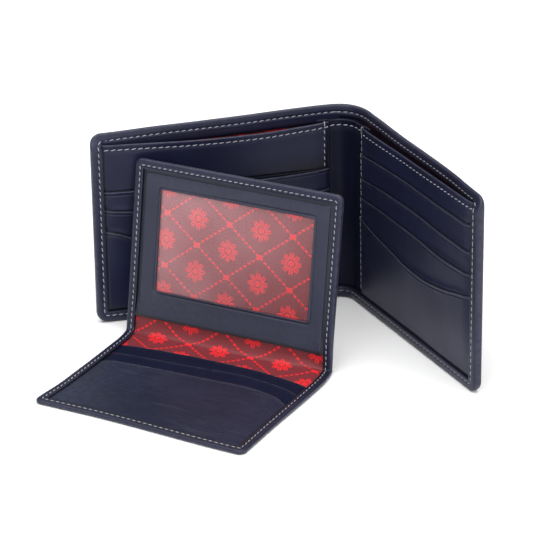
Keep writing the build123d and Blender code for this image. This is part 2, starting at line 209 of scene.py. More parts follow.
# ----------------------------------------------------------- node shorthand
class Nodes:
    def __init__(self, name):
        self.m = bpy.data.materials.new(name)
        self.m.use_nodes = True
        self.t = self.m.node_tree
        self.t.nodes.clear()
        self.out = self.t.nodes.new("ShaderNodeOutputMaterial")
        self.s = self.t.nodes.new("ShaderNodeBsdfPrincipled")
        self.t.links.new(self.s.outputs[0], self.out.inputs["Surface"])

    def put(self, node, key, value):
        if value is None:
            return
        socket = node.inputs[key]
        if isinstance(value, bpy.types.NodeSocket):
            self.t.links.new(value, socket)
        else:
            socket.default_value = value

    def node(self, kind, out=0, ins=(), **props):
        n = self.t.nodes.new(kind)
        for k, v in props.items():
            setattr(n, k, v)
        for k, v in dict(ins).items():
            self.put(n, k, v)
        return n.outputs[out]

    def m1(self, op, a, b=None, c=None, clamp=False):
        n = self.t.nodes.new("ShaderNodeMath")
        n.operation = op
        n.use_clamp = clamp
        for i, v in enumerate((a, b, c)):
            if v is not None:
                self.put(n, i, v)
        return n.outputs[0]

    def mix(self, fac, a, b):
        n = self.t.nodes.new("ShaderNodeMix")
        n.data_type = "RGBA"
        self.put(n, 0, fac)
        self.put(n, 6, a)
        self.put(n, 7, b)
        return n.outputs[2]

    def mixf(self, fac, a, b):
        n = self.t.nodes.new("ShaderNodeMix")
        n.data_type = "FLOAT"
        self.put(n, 0, fac)
        self.put(n, 2, a)
        self.put(n, 3, b)
        return n.outputs[0]

    def flat(self):
        return self.node("ShaderNodeUVMap", uv_map="flat")

    def noise(self, vec, size_mm, detail=2.0, rough=0.5, distort=0.0):
        return self.node("ShaderNodeTexNoise", 0, {"Vector": vec, "Scale": 1000.0 / size_mm,
                         "Detail": detail, "Roughness": rough, "Distortion": distort})

    def ramp(self, fac, a, b, steep="EASE"):
        n = self.t.nodes.new("ShaderNodeMapRange")
        n.interpolation_type = "SMOOTHSTEP"
        self.put(n, 0, fac)
        n.inputs[1].default_value, n.inputs[2].default_value = a, b
        return n.outputs[0]

    def bump(self, height, strength, distance, normal=None):
        return self.node("ShaderNodeBump", 0, {"Height": height, "Strength": strength,
                         "Distance": distance, "Normal": normal})

    def finish(self, **sockets):
        for k, v in sockets.items():
            self.put(self.s, k.replace("_", " "), v)
        return self.m


def leather(name, dark, light, worn_and_sheen_colour, rough, grain=0.10, streak=0.0, gloss=0.42, crease=0.06):
    """Smooth calf: two close shades, fine pores, faint growth lines, rubbed edges, and the painted shade and painted
    sheen that the wear attribute lays on.
    """
    k = Nodes(name)
    uv = k.flat()
    cloud = k.noise(uv, 26.0, 3.0, 0.55)
    fleck = k.noise(uv, 1.1, 4.0, 0.6)
    shade = k.ramp(k.m1("ADD", k.m1("MULTIPLY", cloud, 0.75), k.m1("MULTIPLY", fleck, 0.25)), 0.36, 0.66)
    body = k.mix(shade, dark, light)
    wear = k.node("ShaderNodeAttribute", 2, attribute_name="wear")
    mottle = k.noise(uv, 2.3, 4.0, 0.6)
    # plus wear lightens towards the worn colour: rubbed edges, and painted highlight and painted sheen where a caller
    # lays them on
    rub_and_painted_sheen = k.m1("MULTIPLY", wear, k.ramp(mottle, 0.26, 0.64), clamp=True)
    colour = k.mix(k.m1("MULTIPLY", rub_and_painted_sheen, 0.8), body, worn_and_sheen_colour)
    # minus wear darkens towards near-black: painted shade in creases, recesses and gaps, and edge ink
    ink_and_painted_shade = k.m1("MULTIPLY", wear, -1.0, clamp=True)
    colour = k.mix(ink_and_painted_shade, colour, (0.0022, 0.0022, 0.0045, 1))
    cell = k.node("ShaderNodeTexVoronoi", 0, {"Vector": uv, "Scale": 1000.0 / 0.42, "Randomness": 1.0})
    pores = k.noise(uv, 0.30, 3.0, 0.6)
    skin = k.m1("ADD", k.m1("MULTIPLY", cell, 0.6), k.m1("MULTIPLY", pores, 0.7))
    soft = k.noise(uv, 3.4, 2.0, 0.5)
    normal = k.bump(soft, 0.10, 0.0004)
    normal = k.bump(k.noise(uv, 1.3, 3.0, 0.6, 0.4), crease, 0.00020, normal)
    if streak:
        warp = k.node("ShaderNodeVectorMath", 0, {0: uv, 1: (1.0, 7.5, 1.0)}, operation="MULTIPLY")
        lines = k.noise(warp, 15.0, 5.0, 0.60, 0.7)
        normal = k.bump(lines, streak, 0.0006, normal)
        pale = k.m1("MULTIPLY", k.ramp(lines, 0.50, 0.66), k.ramp(k.noise(uv, 24.0, 2.0, 0.5), 0.30, 0.62))
        colour = k.mix(k.m1("MULTIPLY", pale, 0.38), colour, (0.032, 0.036, 0.052, 1))
    normal = k.bump(skin, grain, 0.00012, normal)
    roughness = k.m1("ADD", rough - 0.05, k.m1("MULTIPLY", k.m1("SUBTRACT", 1.0, cloud), 0.12))
    roughness = k.m1("SUBTRACT", roughness, k.m1("MULTIPLY", rub_and_painted_sheen, 0.06))
    return k.finish(Base_Color=colour, Roughness=roughness, Normal=normal, Specular_IOR_Level=gloss,
                    Specular_Tint=(0.86, 0.88, 1.0, 1.0), Sheen_Weight=0.02, Sheen_Roughness=0.4, Sheen_Tint=(0.7, 0.8, 1.0, 1.0))


def lining_cloth(name, ground, figure, painted_glare=False):
    """Jacquard satin: a lattice of woven dots with eight-petal rosettes in its cells."""
    k = Nodes(name)
    uv = k.flat()
    sep = k.t.nodes.new("ShaderNodeSeparateXYZ")
    k.put(sep, 0, uv)
    x, y = sep.outputs[0], sep.outputs[1]
    W, H = 0.0300, 0.0230
    px = k.m1("DIVIDE", k.m1("ADD", x, 1.0 + 0.0045), W)
    py = k.m1("DIVIDE", k.m1("ADD", y, 1.0 + 0.0030), H)
    a, b = k.m1("ADD", px, py), k.m1("SUBTRACT", px, py)
    fa, fb = k.m1("SUBTRACT", k.m1("FRACT", a), 0.5), k.m1("SUBTRACT", k.m1("FRACT", b), 0.5)
    # distance from the lattice lines, and dots along them
    la, lb = k.m1("SUBTRACT", 0.5, k.m1("ABSOLUTE", fa)), k.m1("SUBTRACT", 0.5, k.m1("ABSOLUTE", fb))
    step = 8.0
    sa = k.m1("SUBTRACT", k.m1("FRACT", k.m1("MULTIPLY", b, step)), 0.5)
    sb = k.m1("SUBTRACT", k.m1("FRACT", k.m1("MULTIPLY", a, step)), 0.5)

    def dots(line, along):
        q = k.m1("ADD", k.m1("POWER", k.m1("MULTIPLY", line, 23.0), 2.0),
                 k.m1("POWER", k.m1("MULTIPLY", along, 1.9), 2.0))
        return k.m1("SUBTRACT", 1.0, k.ramp(q, 0.30, 0.62))
    lattice = k.m1("MAXIMUM", dots(la, sa), dots(lb, sb))
    # rosettes in the cells, in metres from the cell's middle
    rx = k.m1("MULTIPLY", k.m1("ADD", fa, fb), W / 2)
    ry = k.m1("MULTIPLY", k.m1("SUBTRACT", fa, fb), H / 2)
    r = k.m1("SQRT", k.m1("ADD", k.m1("MULTIPLY", rx, rx), k.m1("MULTIPLY", ry, ry)))
    th = k.m1("ARCTAN2", ry, rx)
    petal = k.m1("ABSOLUTE", k.m1("COSINE", k.m1("MULTIPLY", th, 4.0)))
    edge = k.m1("MULTIPLY", k.m1("ADD", 0.42, k.m1("MULTIPLY", k.m1("POWER", petal, 0.75), 0.58)), 0.0050)
    flower = k.m1("SUBTRACT", 1.0, k.ramp(k.m1("SUBTRACT", r, edge), -0.00012, 0.00018))
    vein = k.ramp(k.m1("ABSOLUTE", k.m1("SINE", k.m1("MULTIPLY", th, 4.0))), 0.10, 0.26)
    vein = k.m1("MAXIMUM", vein, k.m1("SUBTRACT", 1.0, k.ramp(r, 0.0022, 0.0026)))
    heart = k.ramp(k.m1("ABSOLUTE", k.m1("SUBTRACT", r, 0.00165)), 0.00016, 0.00034)
    flower = k.m1("MULTIPLY", k.m1("MULTIPLY", flower, vein), heart)
    # small lozenges where the lattice lines cross
    lz = k.m1("ADD", k.m1("MULTIPLY", la, 1.0), k.m1("MULTIPLY", lb, 1.0))
    lozenge = k.m1("SUBTRACT", 1.0, k.ramp(lz, 0.085, 0.105))
    mask = k.m1("MAXIMUM", k.m1("MAXIMUM", lattice, flower), lozenge, clamp=True)
    # warp and weft
    weft = k.m1("SINE", k.m1("MULTIPLY", y, 2 * pi / 0.00042))
    warp = k.m1("SINE", k.m1("MULTIPLY", x, 2 * pi / 0.00030))
    twill = k.m1("SINE", k.m1("MULTIPLY", k.m1("ADD", x, k.m1("MULTIPLY", y, 1.6)), 2 * pi / 0.00062))
    slub = k.noise(k.node("ShaderNodeVectorMath", 0, {0: uv, 1: (1.0, 9.0, 1.0)}, operation="MULTIPLY"), 4.0, 4.0, 0.6)
    tone = k.m1("ADD", 0.90, k.m1("MULTIPLY", slub, 0.22))
    g = k.node("ShaderNodeVectorMath", 0, {0: ground, 3: tone}, operation="SCALE")
    ribs = k.m1("ADD", 0.80, k.m1("MULTIPLY", weft, 0.20))
    f = k.node("ShaderNodeVectorMath", 0, {0: figure, 3: ribs}, operation="SCALE")
    colour = k.mix(mask, g, f)
    # painted glare: the vinyl's haze and the light it reflects are laid on the cloth as a paler colour, strongest at
    # the upper left
    if painted_glare:      # paler where the vinyl lies on the cloth, strongest at the upper left
        inx = k.m1("MULTIPLY", k.ramp(x, 0.0085, 0.0105), k.m1("SUBTRACT", 1.0, k.ramp(x, 0.0870, 0.0890)))
        iny = k.m1("MULTIPLY", k.ramp(y, 0.0165, 0.0185), k.m1("SUBTRACT", 1.0, k.ramp(y, 0.0660, 0.0680)))
        across = k.ramp(x, 0.008, 0.092)
        upward = k.ramp(y, 0.014, 0.066)
        cloud = k.noise(uv, 30.0, 2.0, 0.45)
        haze_and_painted_glare = k.m1("ADD", k.m1("MULTIPLY", k.m1("SUBTRACT", 1.0, across), 0.18), k.m1("MULTIPLY", upward, 0.085))
        haze_and_painted_glare = k.m1("MULTIPLY", k.m1("ADD", haze_and_painted_glare, 0.0), k.m1("ADD", 0.25, k.m1("MULTIPLY", cloud, 1.5)))
        haze_and_painted_glare = k.m1("MULTIPLY", haze_and_painted_glare, k.m1("MULTIPLY", inx, iny), clamp=True)
        colour = k.mix(haze_and_painted_glare, colour, (1.0, 0.66, 0.70, 1))
    h = k.mixf(mask, k.m1("MULTIPLY", twill, 0.5), k.m1("ADD", 1.0, k.m1("MULTIPLY", weft, 0.7)))
    normal = k.bump(h, 0.025 if painted_glare else 0.06, 0.00005)
    normal = k.bump(slub, 0.03 if painted_glare else 0.05, 0.0003, normal)
    rough = k.mixf(mask, 0.38, 0.48)
    return k.finish(Base_Color=colour, Roughness=rough, Normal=normal, Specular_IOR_Level=0.40,
                    Specular_Tint=(1.0, 0.62, 0.62, 1.0), Sheen_Weight=0.12, Sheen_Roughness=0.35, Sheen_Tint=(1.0, 0.6, 0.6, 1.0))


def thread_yarn(name, shade=(0.355, 0.357, 0.415)):
    k = Nodes(name)
    uv = k.flat()
    sep = k.t.nodes.new("ShaderNodeSeparateXYZ")
    k.put(sep, 0, uv)
    ply = k.m1("SINE", k.m1("MULTIPLY", k.m1("ADD", sep.outputs[0], k.m1("MULTIPLY", sep.outputs[1], 0.8)), 2 * pi / 0.00045))
    fuzz = k.noise(uv, 0.5, 3.0)
    tone = k.m1("ADD", k.m1("ADD", 0.80, k.m1("MULTIPLY", ply, 0.08)), k.m1("MULTIPLY", fuzz, 0.2))
    colour = k.node("ShaderNodeVectorMath", 0, {0: shade, 3: tone}, operation="SCALE")
    return k.finish(Base_Color=colour, Roughness=k.mixf(fuzz, 0.5, 0.75), Normal=k.bump(ply, 0.35, 0.00008),
                    Sheen_Weight=0.15)


def film_plastic(name):
    """Clear vinyl window whose colour carries its haze and a painted glare, paler towards the upper left."""
    k = Nodes(name)
    uv = k.flat()
    sep = k.t.nodes.new("ShaderNodeSeparateXYZ")
    k.put(sep, 0, uv)
    across = k.ramp(sep.outputs[0], 0.010, 0.090)
    upward = k.ramp(sep.outputs[1], 0.012, 0.066)
    cloud = k.noise(uv, 34.0, 2.0, 0.45)
    painted_glare = k.m1("ADD", k.m1("MULTIPLY", k.m1("SUBTRACT", 1.0, across), 0.55), k.m1("MULTIPLY", upward, 0.45))
    painted_glare = k.m1("MULTIPLY", painted_glare, k.m1("ADD", 0.50, k.m1("MULTIPLY", cloud, 1.0)), clamp=True)
    colour = k.mix(painted_glare, (0.10, 0.05, 0.055, 1), (0.55, 0.36, 0.38, 1))
    fine = k.noise(uv, 7.0, 2.0, 0.5)
    return k.finish(Base_Color=colour, Roughness=k.mixf(fine, 0.10, 0.20), Alpha=0.08,
                    Specular_IOR_Level=0.6, Normal=k.bump(fine, 0.05, 0.0005))


NAVY = leather("navy_calf", (0.0066, 0.0074, 0.0235, 1), (0.0098, 0.0108, 0.0315, 1), (0.060, 0.061, 0.086, 1), 0.40, gloss=0.42, crease=0.22)
NAVY_IN = leather("navy_calf_inside", (0.0060, 0.0069, 0.0235, 1), (0.0088, 0.0099, 0.0315, 1), (0.060, 0.061, 0.086, 1), 0.38, 0.08, gloss=0.32)
NAVY_FRAME = leather("navy_calf_frame", (0.0070, 0.0080, 0.0240, 1), (0.0105, 0.0118, 0.0320, 1), (0.060, 0.061, 0.086, 1), 0.42, 0.09, gloss=0.58)
# darker copy of the calf for the gusset: painted shade down the spine
NAVY_SPINE_PAINTED_SHADE = leather("navy_calf_gusset_painted_shade", (0.0030, 0.0034, 0.0115, 1), (0.0046, 0.0051, 0.0165, 1), (0.040, 0.041, 0.060, 1), 0.42, 0.08, gloss=0.14)
NAVY_MATT = leather("navy_calf_pocket", (0.0038, 0.0056, 0.0185, 1), (0.0056, 0.0078, 0.0240, 1), (0.070, 0.076, 0.104, 1), 0.50, 0.08, gloss=0.08)
NAVY_GLAZED = leather("navy_calf_glazed", (0.0054, 0.0082, 0.0215, 1), (0.0098, 0.0134, 0.0320, 1), (0.080, 0.082, 0.110, 1), 0.42, 0.06, 0.22, gloss=0.25)
SATIN = lining_cloth("woven_lining", (0.185, 0.026, 0.032), (0.90, 0.022, 0.030))
# darker copy of the lining cloth: painted shade for the bill compartments
SATIN_BILL = lining_cloth("woven_lining_shaded", (0.095, 0.013, 0.018), (0.36, 0.010, 0.016))
SATIN_CASE = lining_cloth("woven_lining_case_painted_glare", (0.165, 0.024, 0.030), (0.90, 0.022, 0.030), painted_glare=True)
YARN = thread_yarn("stitching_thread")
# dimmer thread: painted shade on the case's inner stitches
YARN_CASE_PAINTED_SHADE = thread_yarn("stitching_thread_case_painted_shade", (0.320, 0.322, 0.376))
# dimmer thread: painted shade on the right seam and the bottom rows
YARN_SHADED = thread_yarn("stitching_thread_seam", (0.20, 0.202, 0.245))
FILM = film_plastic("clear_vinyl")


# ============================================================ billfold map
CX, CY = 60.24, 60.55
HALF = radians(38.25)
FOLD_R = 6.0
RA = FOLD_R * HALF
LEAF_L, LEAF_R, TALL = -111.276, 109.276, 86.9


def bill(s, c, z):
    """Flat leather point s along, z up, c in front of the leaf's front face."""
    s, c, z = np.broadcast_arrays(*(np.asarray(a, float) for a in (s, c, z)))
    a = np.clip(s / FOLD_R + HALF, 0, 2 * HALF)
    x = -4.7302 + (FOLD_R - c) * np.sin(a) + np.minimum(s + RA, 0)
    y = -6.0 + (FOLD_R - c) * np.cos(a)
    t = np.maximum(s - RA, 0)
    x = x + t * cos(2 * HALF)
    y = y - t * sin(2 * HALF)
    return np.stack([x + CX, y + CY, z], -1)


rim = smooth_through([(-111.3, 4.0), (-104.3, 4.2), (-94.3, 5.2), (-84.3, 6.3), (-63.3, 7.5), (-42.3, 9.1),
                      (-21.3, 11.3), (-5.6, 12.3), (-2.0, 12.1), (0.0, 11.2), (3.0, 9.6), (5.6, 9.2), (13.0, 9.0),
                      (24.3, 8.3), (36.9, 7.7), (57.3, 7.2), (78.8, 6.4), (95.3, 5.0), (109.3, 4.0)])


def b_out(s, z):
    e = np.minimum(s - LEAF_L, LEAF_R - s)
    wave = 0.10 * np.sin(s / 17.0 + 0.6) * np.sin(z / 19.0 + 0.4) * ss(4, 18, e) * ss(0, 14, z)
    return 4.0 + (rim(s) - 4.0) * (np.clip(z, 0, TALL) / TALL) ** 1.08 + wave


def bill_out(s, z):
    return -b_out(s, z)


def bill_hem(s, z):
    e = np.minimum(s - LEAF_L, LEAF_R - s)
    top = np.maximum(ss(3.9, 5.6, e) * ss(79.5, 81.4, z), ss(80.5, 86.0, z))
    return -top * (b_out(s, z) - 1.9)


def bill_in(s, z):
    return -(b_out(s, z) - 1.2 - 0.7 * (np.asarray(z) > 78.9) * ss(4, -3, s))


# ------------------------------------------------- pocket stacks, shingled
def stack(layers, edge_taper, first, step=0.38):
    """Front heights of layers, back one first.  layers: (mouth(s), rest height at
    the edges, extra height in the middle, lift of the mouth)."""
    fns = []
    for mouth, low, crown, lift in reversed(layers):
        over = fns[-1] if fns else None

        def fn(s, z, mouth=mouth, low=low, crown=crown, lift=lift, over=over):
            e = edge_taper(s)
            own = low + crown * e * ss(2, 24, z - 5.0) + e * (0.11 * np.sin(s / 12.0 + 0.7) * np.sin(z / 10.0 + 0.5) + 0.05 * np.sin(s / 5.7 + z / 8.3))
            if mouth is not None:
                own = own + lift * e * np.exp(-np.clip(mouth(s) - z, 0, None) / 5.0)
            if over is not None:
                m2, f2 = over
                w = ss(3.2, -0.1, z - m2(s))
                own = own * (1 - w) + (f2(s, z) - step) * w
            return own
        fns.append((mouth, fn))
    return [f for _, f in reversed(fns)]


L_IN, R_IN = LEAF_L + 5.0, LEAF_R - 5.0          # inner edges of the turned border
SEAM_L, SEAM_R = -8.2 + 0.724, 9.7 - 0.724       # visible panel edges at the spine


def taper_l(s):
    return ss(0, 5, s - L_IN) * (0.30 + 0.70 * ss(0, 7, SEAM_L - s))


def taper_r(s):
    return ss(0, 5, R_IN - s) * (0.30 + 0.70 * ss(0, 7, s - SEAM_R))


mouth_pass = smooth_through([(-107, 60.4), (-94, 60.3), (-60, 60.6), (-30, 60.9), (-15, 61.1), (-7, 61.5)])
mouth_l1 = smooth_through([(-107, 52.2), (-98, 51.3), (-88, 50.8), (-60, 50.8), (-30, 51.0), (-7, 52.0)])
mouth_l2 = smooth_through([(-107, 42.4), (-102, 41.6), (-94, 38.8), (-80, 36.0), (-57, 34.9), (-34, 36.0), (-18, 39.5), (-7, 42.0)])
mouth_r1 = smooth_through([(9, 71.3), (33, 72.5), (55, 72.8), (80, 72.6), (105, 73.0)])
mouth_r2 = smooth_through([(9, 60.2), (33, 61.7), (55, 62.0), (80, 61.3), (105, 61.0)])
mouth_r3 = smooth_through([(9, 51.4), (33, 51.9), (55, 51.6), (80, 50.4), (105, 51.5)])
mouth_r4 = smooth_through([(9, 42.0), (14, 41.2), (24, 39.1), (37.5, 37.1), (50.5, 35.4), (64, 34.9), (80.5, 36.8), (96, 40.4), (105, 42.0)])


def gape(s, z):
    x = np.clip((s + 106.3) / 98.8, 0, 1) ** 1.5
    return 2.7 * np.sin(pi * x) * (np.clip(z, 0, 62) / 61.0) ** 1.7


def bow(s, z):
    return 1.5 * bell(s, -60.0, 29.0) * ss(35, 83, z)


_l = stack([(None, -1.15, 0.35, 0.0), (mouth_pass, -1.00, 0.40, 0.30), (mouth_l1, -0.90, 0.45, 0.55),
            (mouth_l2, -0.80, 0.60, 0.60)], taper_l, None)
_r = stack([(None, -1.15, 0.35, 0.0), (mouth_r1, -1.00, 0.35, 0.62), (mouth_r2, -0.92, 0.40, 0.62),
            (mouth_r3, -0.84, 0.45, 0.62), (mouth_r4, -0.76, 0.65, 0.62)], taper_r, None)
left_panel = lambda s, z: _l[0](s, z) + bow(s, z)
left_pass = lambda s, z: _l[1](s, z) + gape(s, z)
left_up = lambda s, z: _l[2](s, z) + gape(s, z)
left_low = lambda s, z: _l[3](s, z) + gape(s, z)
right_panel = _r[0]


# ------------------------------------------------------------ shell maker
def shell(x0, x1, y0, y1, r, D, S, Q, co, cf, ci, mp, ro0, rf0, ins, groove=0.20, arc=8, inner_wear=None, lip=None, border_painted_shade=None):
    """A turned leather cover: outer face, rounded edge, turned border, inner face."""
    h = Heap()
    S, Q = np.asarray(S, float), np.asarray(Q, float)
    xm, ym, hx, hy = (x0 + x1) / 2, (y0 + y1) / 2, (x1 - x0) / 2, (y1 - y0) / 2
    kind, val = [], []
    fan = [i / arc for i in range(1, arc)]
    for a in S: kind.append(0); val.append(a)
    for f in fan: kind.append(4); val.append(f)
    for a in Q: kind.append(1); val.append(a)
    for f in fan: kind.append(5); val.append(f)
    for a in S[::-1]: kind.append(2); val.append(a)
    for f in fan: kind.append(6); val.append(f)
    for a in Q[::-1]: kind.append(3); val.append(a)
    for f in fan: kind.append(7); val.append(f)
    kind, val = np.array(kind), np.array(val)
    N = len(kind)

    def ring(d):
        d = np.broadcast_to(np.asarray(d, float), (N,))
        m = np.maximum(d, r)
        rad = np.maximum(r - d, 0)
        p, q = np.zeros(N), np.zeros(N)
        sx = xm + (val - xm) * (hx - m) / (hx - r)
        sy = ym + (val - ym) * (hy - m) / (hy - r)
        for k, (ox, oy) in enumerate(((0, y0), (x1, 0), (0, y1), (x0, 0))):
            i = kind == k
            if k == 0: p[i], q[i] = sx[i], y0 + d[i]
            if k == 1: p[i], q[i] = x1 - d[i], sy[i]
            if k == 2: p[i], q[i] = sx[i], y1 - d[i]
            if k == 3: p[i], q[i] = x0 + d[i], sy[i]
        for k, (cx, cy, a0) in enumerate(((1, -1, -90), (1, 1, 0), (-1, 1, 90), (-1, -1, 180))):
            i = kind == 4 + k
            ang = np.radians(a0 + 90 * val[i])
            p[i] = (xm + cx * (hx - m[i])) + rad[i] * np.cos(ang)
            q[i] = (ym + cy * (hy - m[i])) + rad[i] * np.sin(ang)
        return p, q

    p0, q0 = ring(0.0)
    th = cf(p0, q0) - co(p0, q0)
    ro, rf = np.minimum(ro0, 0.47 * th), np.minimum(rf0, 0.47 * th)

    def dome(d):
        return 0.09 * np.sin(pi * np.clip(d / ins, 0, 1)) + 0.07 * bell(d, ins + 0.9, 0.45) - groove * bell(d, ins, 0.27)

    ds = [D, D - 0.55, ins + 1.0, ins + 0.55, ins + 0.28, ins + 0.12, ins, ins - 0.12, ins - 0.28, ins - 0.55,
          (ins - 0.55 + ro0) / 2]
    ds = [d for i, d in enumerate(ds) if i == 0 or d < ds[i - 1] - 0.05]
    rings = []
    for d in ds:
        p, q = ring(d)
        rings.append((p, q, co(p, q) - 0.6 * dome(d) * (1.0 if groove else 0), d, 0.0))
    for al in (90, 68, 46, 24, 0):
        d = ro * (1 - cos(radians(al)))
        p, q = ring(d)
        rings.append((p, q, co(p, q) + ro * (1 - sin(radians(al))), d, 0.75 * (1 - al / 110)))
    for al in (0, 24, 46, 68, 90):
        d = rf * (1 - cos(radians(al)))
        p, q = ring(d)
        rings.append((p, q, cf(p, q) - rf * (1 - sin(radians(al))), d, 0.75 * (1 - al / 110)))
    # the turned border's front face, with any painted shade the caller gives
    for d in ds[::-1]:
        if d >= D - 0.5:
            continue
        p, q = ring(d)
        rings.append((p, q, cf(p, q) + dome(d), d, border_painted_shade(p, q, d) if border_painted_shade else 0.0))
    # painted shade along the border's inner edge where it drops to the face inside it, lighter just before it
    for d, drop, w in ((D - 0.45, 0.0, 0.1), (D - 0.18, 0.03, 0.3), (D - 0.05, 0.12, 0.0), (D, 0.30, -0.6)):
        p, q = ring(d)
        k = lip(p, q) if lip else 1.0
        rings.append((p, q, cf(p, q) - drop * k, d, w * k))
    p, q = ring(D)
    rings.append((p, q, ci(p, q), D, -0.9 * (lip(p, q) if lip else 1.0)))

    bases, walk, prev, turned = [], 0.0, None, False
    for k, (p, q, c, d, w) in enumerate(rings):
        pt = mp(p, c, q)
        if prev is not None:
            walk += float(np.mean(np.linalg.norm(pt - prev, axis=1)))
        else:
            walk = -float(np.mean(d))
        prev = pt
        u, v = ring(-walk if walk > 0 else np.full(N, -walk))
        bases.append(h.add(pt, np.stack([u, v], -1), w))
    for a, b in zip(bases, bases[1:]):
        h.strip(a, b, N)
    SD = xm + (S - xm) * (hx - D) / (hx - r)
    QD = ym + (Q - ym) * (hy - D) / (hy - r)
    P, T = np.meshgrid(SD, QD, indexing="ij")
    g = h.add(mp(P, co(P, T) - 0.6 * dome(D), T), np.stack([P, T], -1))
    h.grid(g, len(SD), len(QD))
    # the inner face, with any painted shade the caller gives
    g = h.add(mp(P, ci(P, T), T), np.stack([P, T + 400], -1), inner_wear(P, T) if inner_wear else 0.0)
    h.grid(g, len(SD), len(QD))
    return h


# ------------------------------------------------------------- slab maker
def slab(P, qb, qt, front, t, mp, lines=(), nz=14, edge_wear=0.9, uv=(0.0, 0.0), crisp=2.4, roll=0.0, under=None, dip=0.0):
    """A thin closed sheet with a rounded top edge, following front(p, q)."""
    h = Heap()
    P = np.asarray(P, float)
    top = qt(P) if callable(qt) else np.full(len(P), float(qt))
    bot = qb(P) if callable(qb) else np.full(len(P), float(qb))
    hh = (t + roll) / 2
    near = {crisp, 2.0, 1.75, 1.5, 1.3, 1.1, 0.85, 0.65, 0.5} | {round(o + k, 3) for o, _, wd in lines
            for k in (-1.4 * wd, -0.7 * wd, 0, 0.7 * wd, 1.4 * wd)}
    near = sorted({d for d in near if d > hh + 0.06} | {round(hh + 0.02, 3)}, reverse=True)
    deep = max(near)
    if under is None:
        rows = [("z", 0.0), ("z", 0.45), ("z", 0.9), ("z", 1.4)] + [("f", k / nz) for k in range(1, nz)]
    else:      # rows gathered where the next layer's mouth lies on this one
        line = under(P)
        cut = max(2, nz // 2)
        rows = [("z", 0.0), ("z", 0.45), ("z", 0.9), ("z", 1.4)] + [("a", k / cut) for k in range(1, cut)] + [("m", o) for o in (-3.0, -1.2, -0.4, 0.0, 0.12, 0.25, 0.4, 0.6, 0.85, 1.2, 1.7, 2.4)] \
            + [("b", k / 8) for k in range(1, 8)]
    rows += [("t", d) for d in near]
    hh = (t + roll) / 2

    def place(row):
        k, d = row
        if k == "z":
            return bot + d
        if k == "f":
            return bot + 1.4 + (top - deep - bot - 1.4) * d
        if k == "a":
            return bot + 1.4 + (line - 4.4 - bot) * d
        if k == "m":
            return line + d
        if k == "b":
            return line + 2.4 + (top - deep - line - 2.4) * d
        return top - d

    def rim_of(q):                       # 1 along the ends and the lower edge
        e = np.minimum(np.minimum(P - P[0], P[-1] - P), q - bot)
        return ss(1.35, 0.35, e) if dip else np.zeros(len(P))

    def dents(q):
        g = -dip * rim_of(q)
        for o, depth, wd in lines:
            g -= depth * bell(top - q, o, wd)
        if under is not None:
            g -= 0.20 * bell(q - line, 0.30, 0.34)
        return g

    idx = []
    for row in rows:
        q = place(row)
        c = front(P, q) + dents(q)
        # lighter towards the top edge (rubbed), and at each crease a painted highlight just below it and painted shade
        # in it
        w = edge_wear * ss(0.75, 0.25, top - q) + sum(0.30 * bell(top - q, o + 0.28, 0.22) - 0.55 * bell(top - q, o - 0.02, 0.20) for o, dp, wd in lines if dp > 0)
        # painted shadow just above where the next layer's mouth lies on this sheet
        if under is not None:
            w = w - 0.95 * bell(q - line, 0.25, 0.42)
        # painted shade along the ends and the lower edge
        w = w * (1 - rim_of(q)) - 0.9 * rim_of(q)
        idx.append((h.add(mp(P, c, q), np.stack([P + uv[0], q + uv[1]], -1), w), q))
    # rolled top edge: lighter on its front (rubbed), darker over its top and back (edge ink and painted shade)
    for a in (18, 48, 90, 132, 162):
        q = top - hh + hh * sin(radians(a))
        c = front(P, np.minimum(q, top)) + dents(top) - hh + hh * cos(radians(a))
        idx.append((h.add(mp(P, c, q), np.stack([P + uv[0], top + uv[1] + a / 180 * t * 1.5], -1), edge_wear * (0.9 if a < 60 else -0.6)), q))
    for row in rows[::-1]:
        q = place(row)
        c = front(P, q) - t - (roll - dents(top)) * bell(top - q, 0.0, 1.1) + 0.0
        idx.append((h.add(mp(P, c, q), np.stack([P + uv[0] + 300, q + uv[1]], -1)), q))
    n = len(P)
    for (a, _), (b, _) in zip(idx, idx[1:]):
        h.strip(a, b, n, closed=False)
    h.strip(idx[-1][0], idx[0][0], n, closed=False)
    # ends
    m = len(idx)
    for e in (0, n - 1):
        for k in range(m // 2):
            a, b = idx[k][0] + e, idx[k + 1][0] + e
            c, d = idx[m - 2 - k][0] + e, idx[m - 1 - k][0] + e
            f = [a, b, c, d]
            if len(set(f)) >= 3 and k < m - 2 - k:
                h.f.append(tuple(dict.fromkeys(f)))
    return h


def spaced(a, b, step, marks=()):
    n = max(2, int(round((b - a) / step)))
    v = set(np.round(np.linspace(a, b, n + 1), 4))
    for m in marks:
        if a < m < b:
            v = {x for x in v if abs(x - m) > step * 0.35 or x in (round(a, 4), round(b, 4))}
            v.add(round(m, 4))
    return np.array(sorted(v))


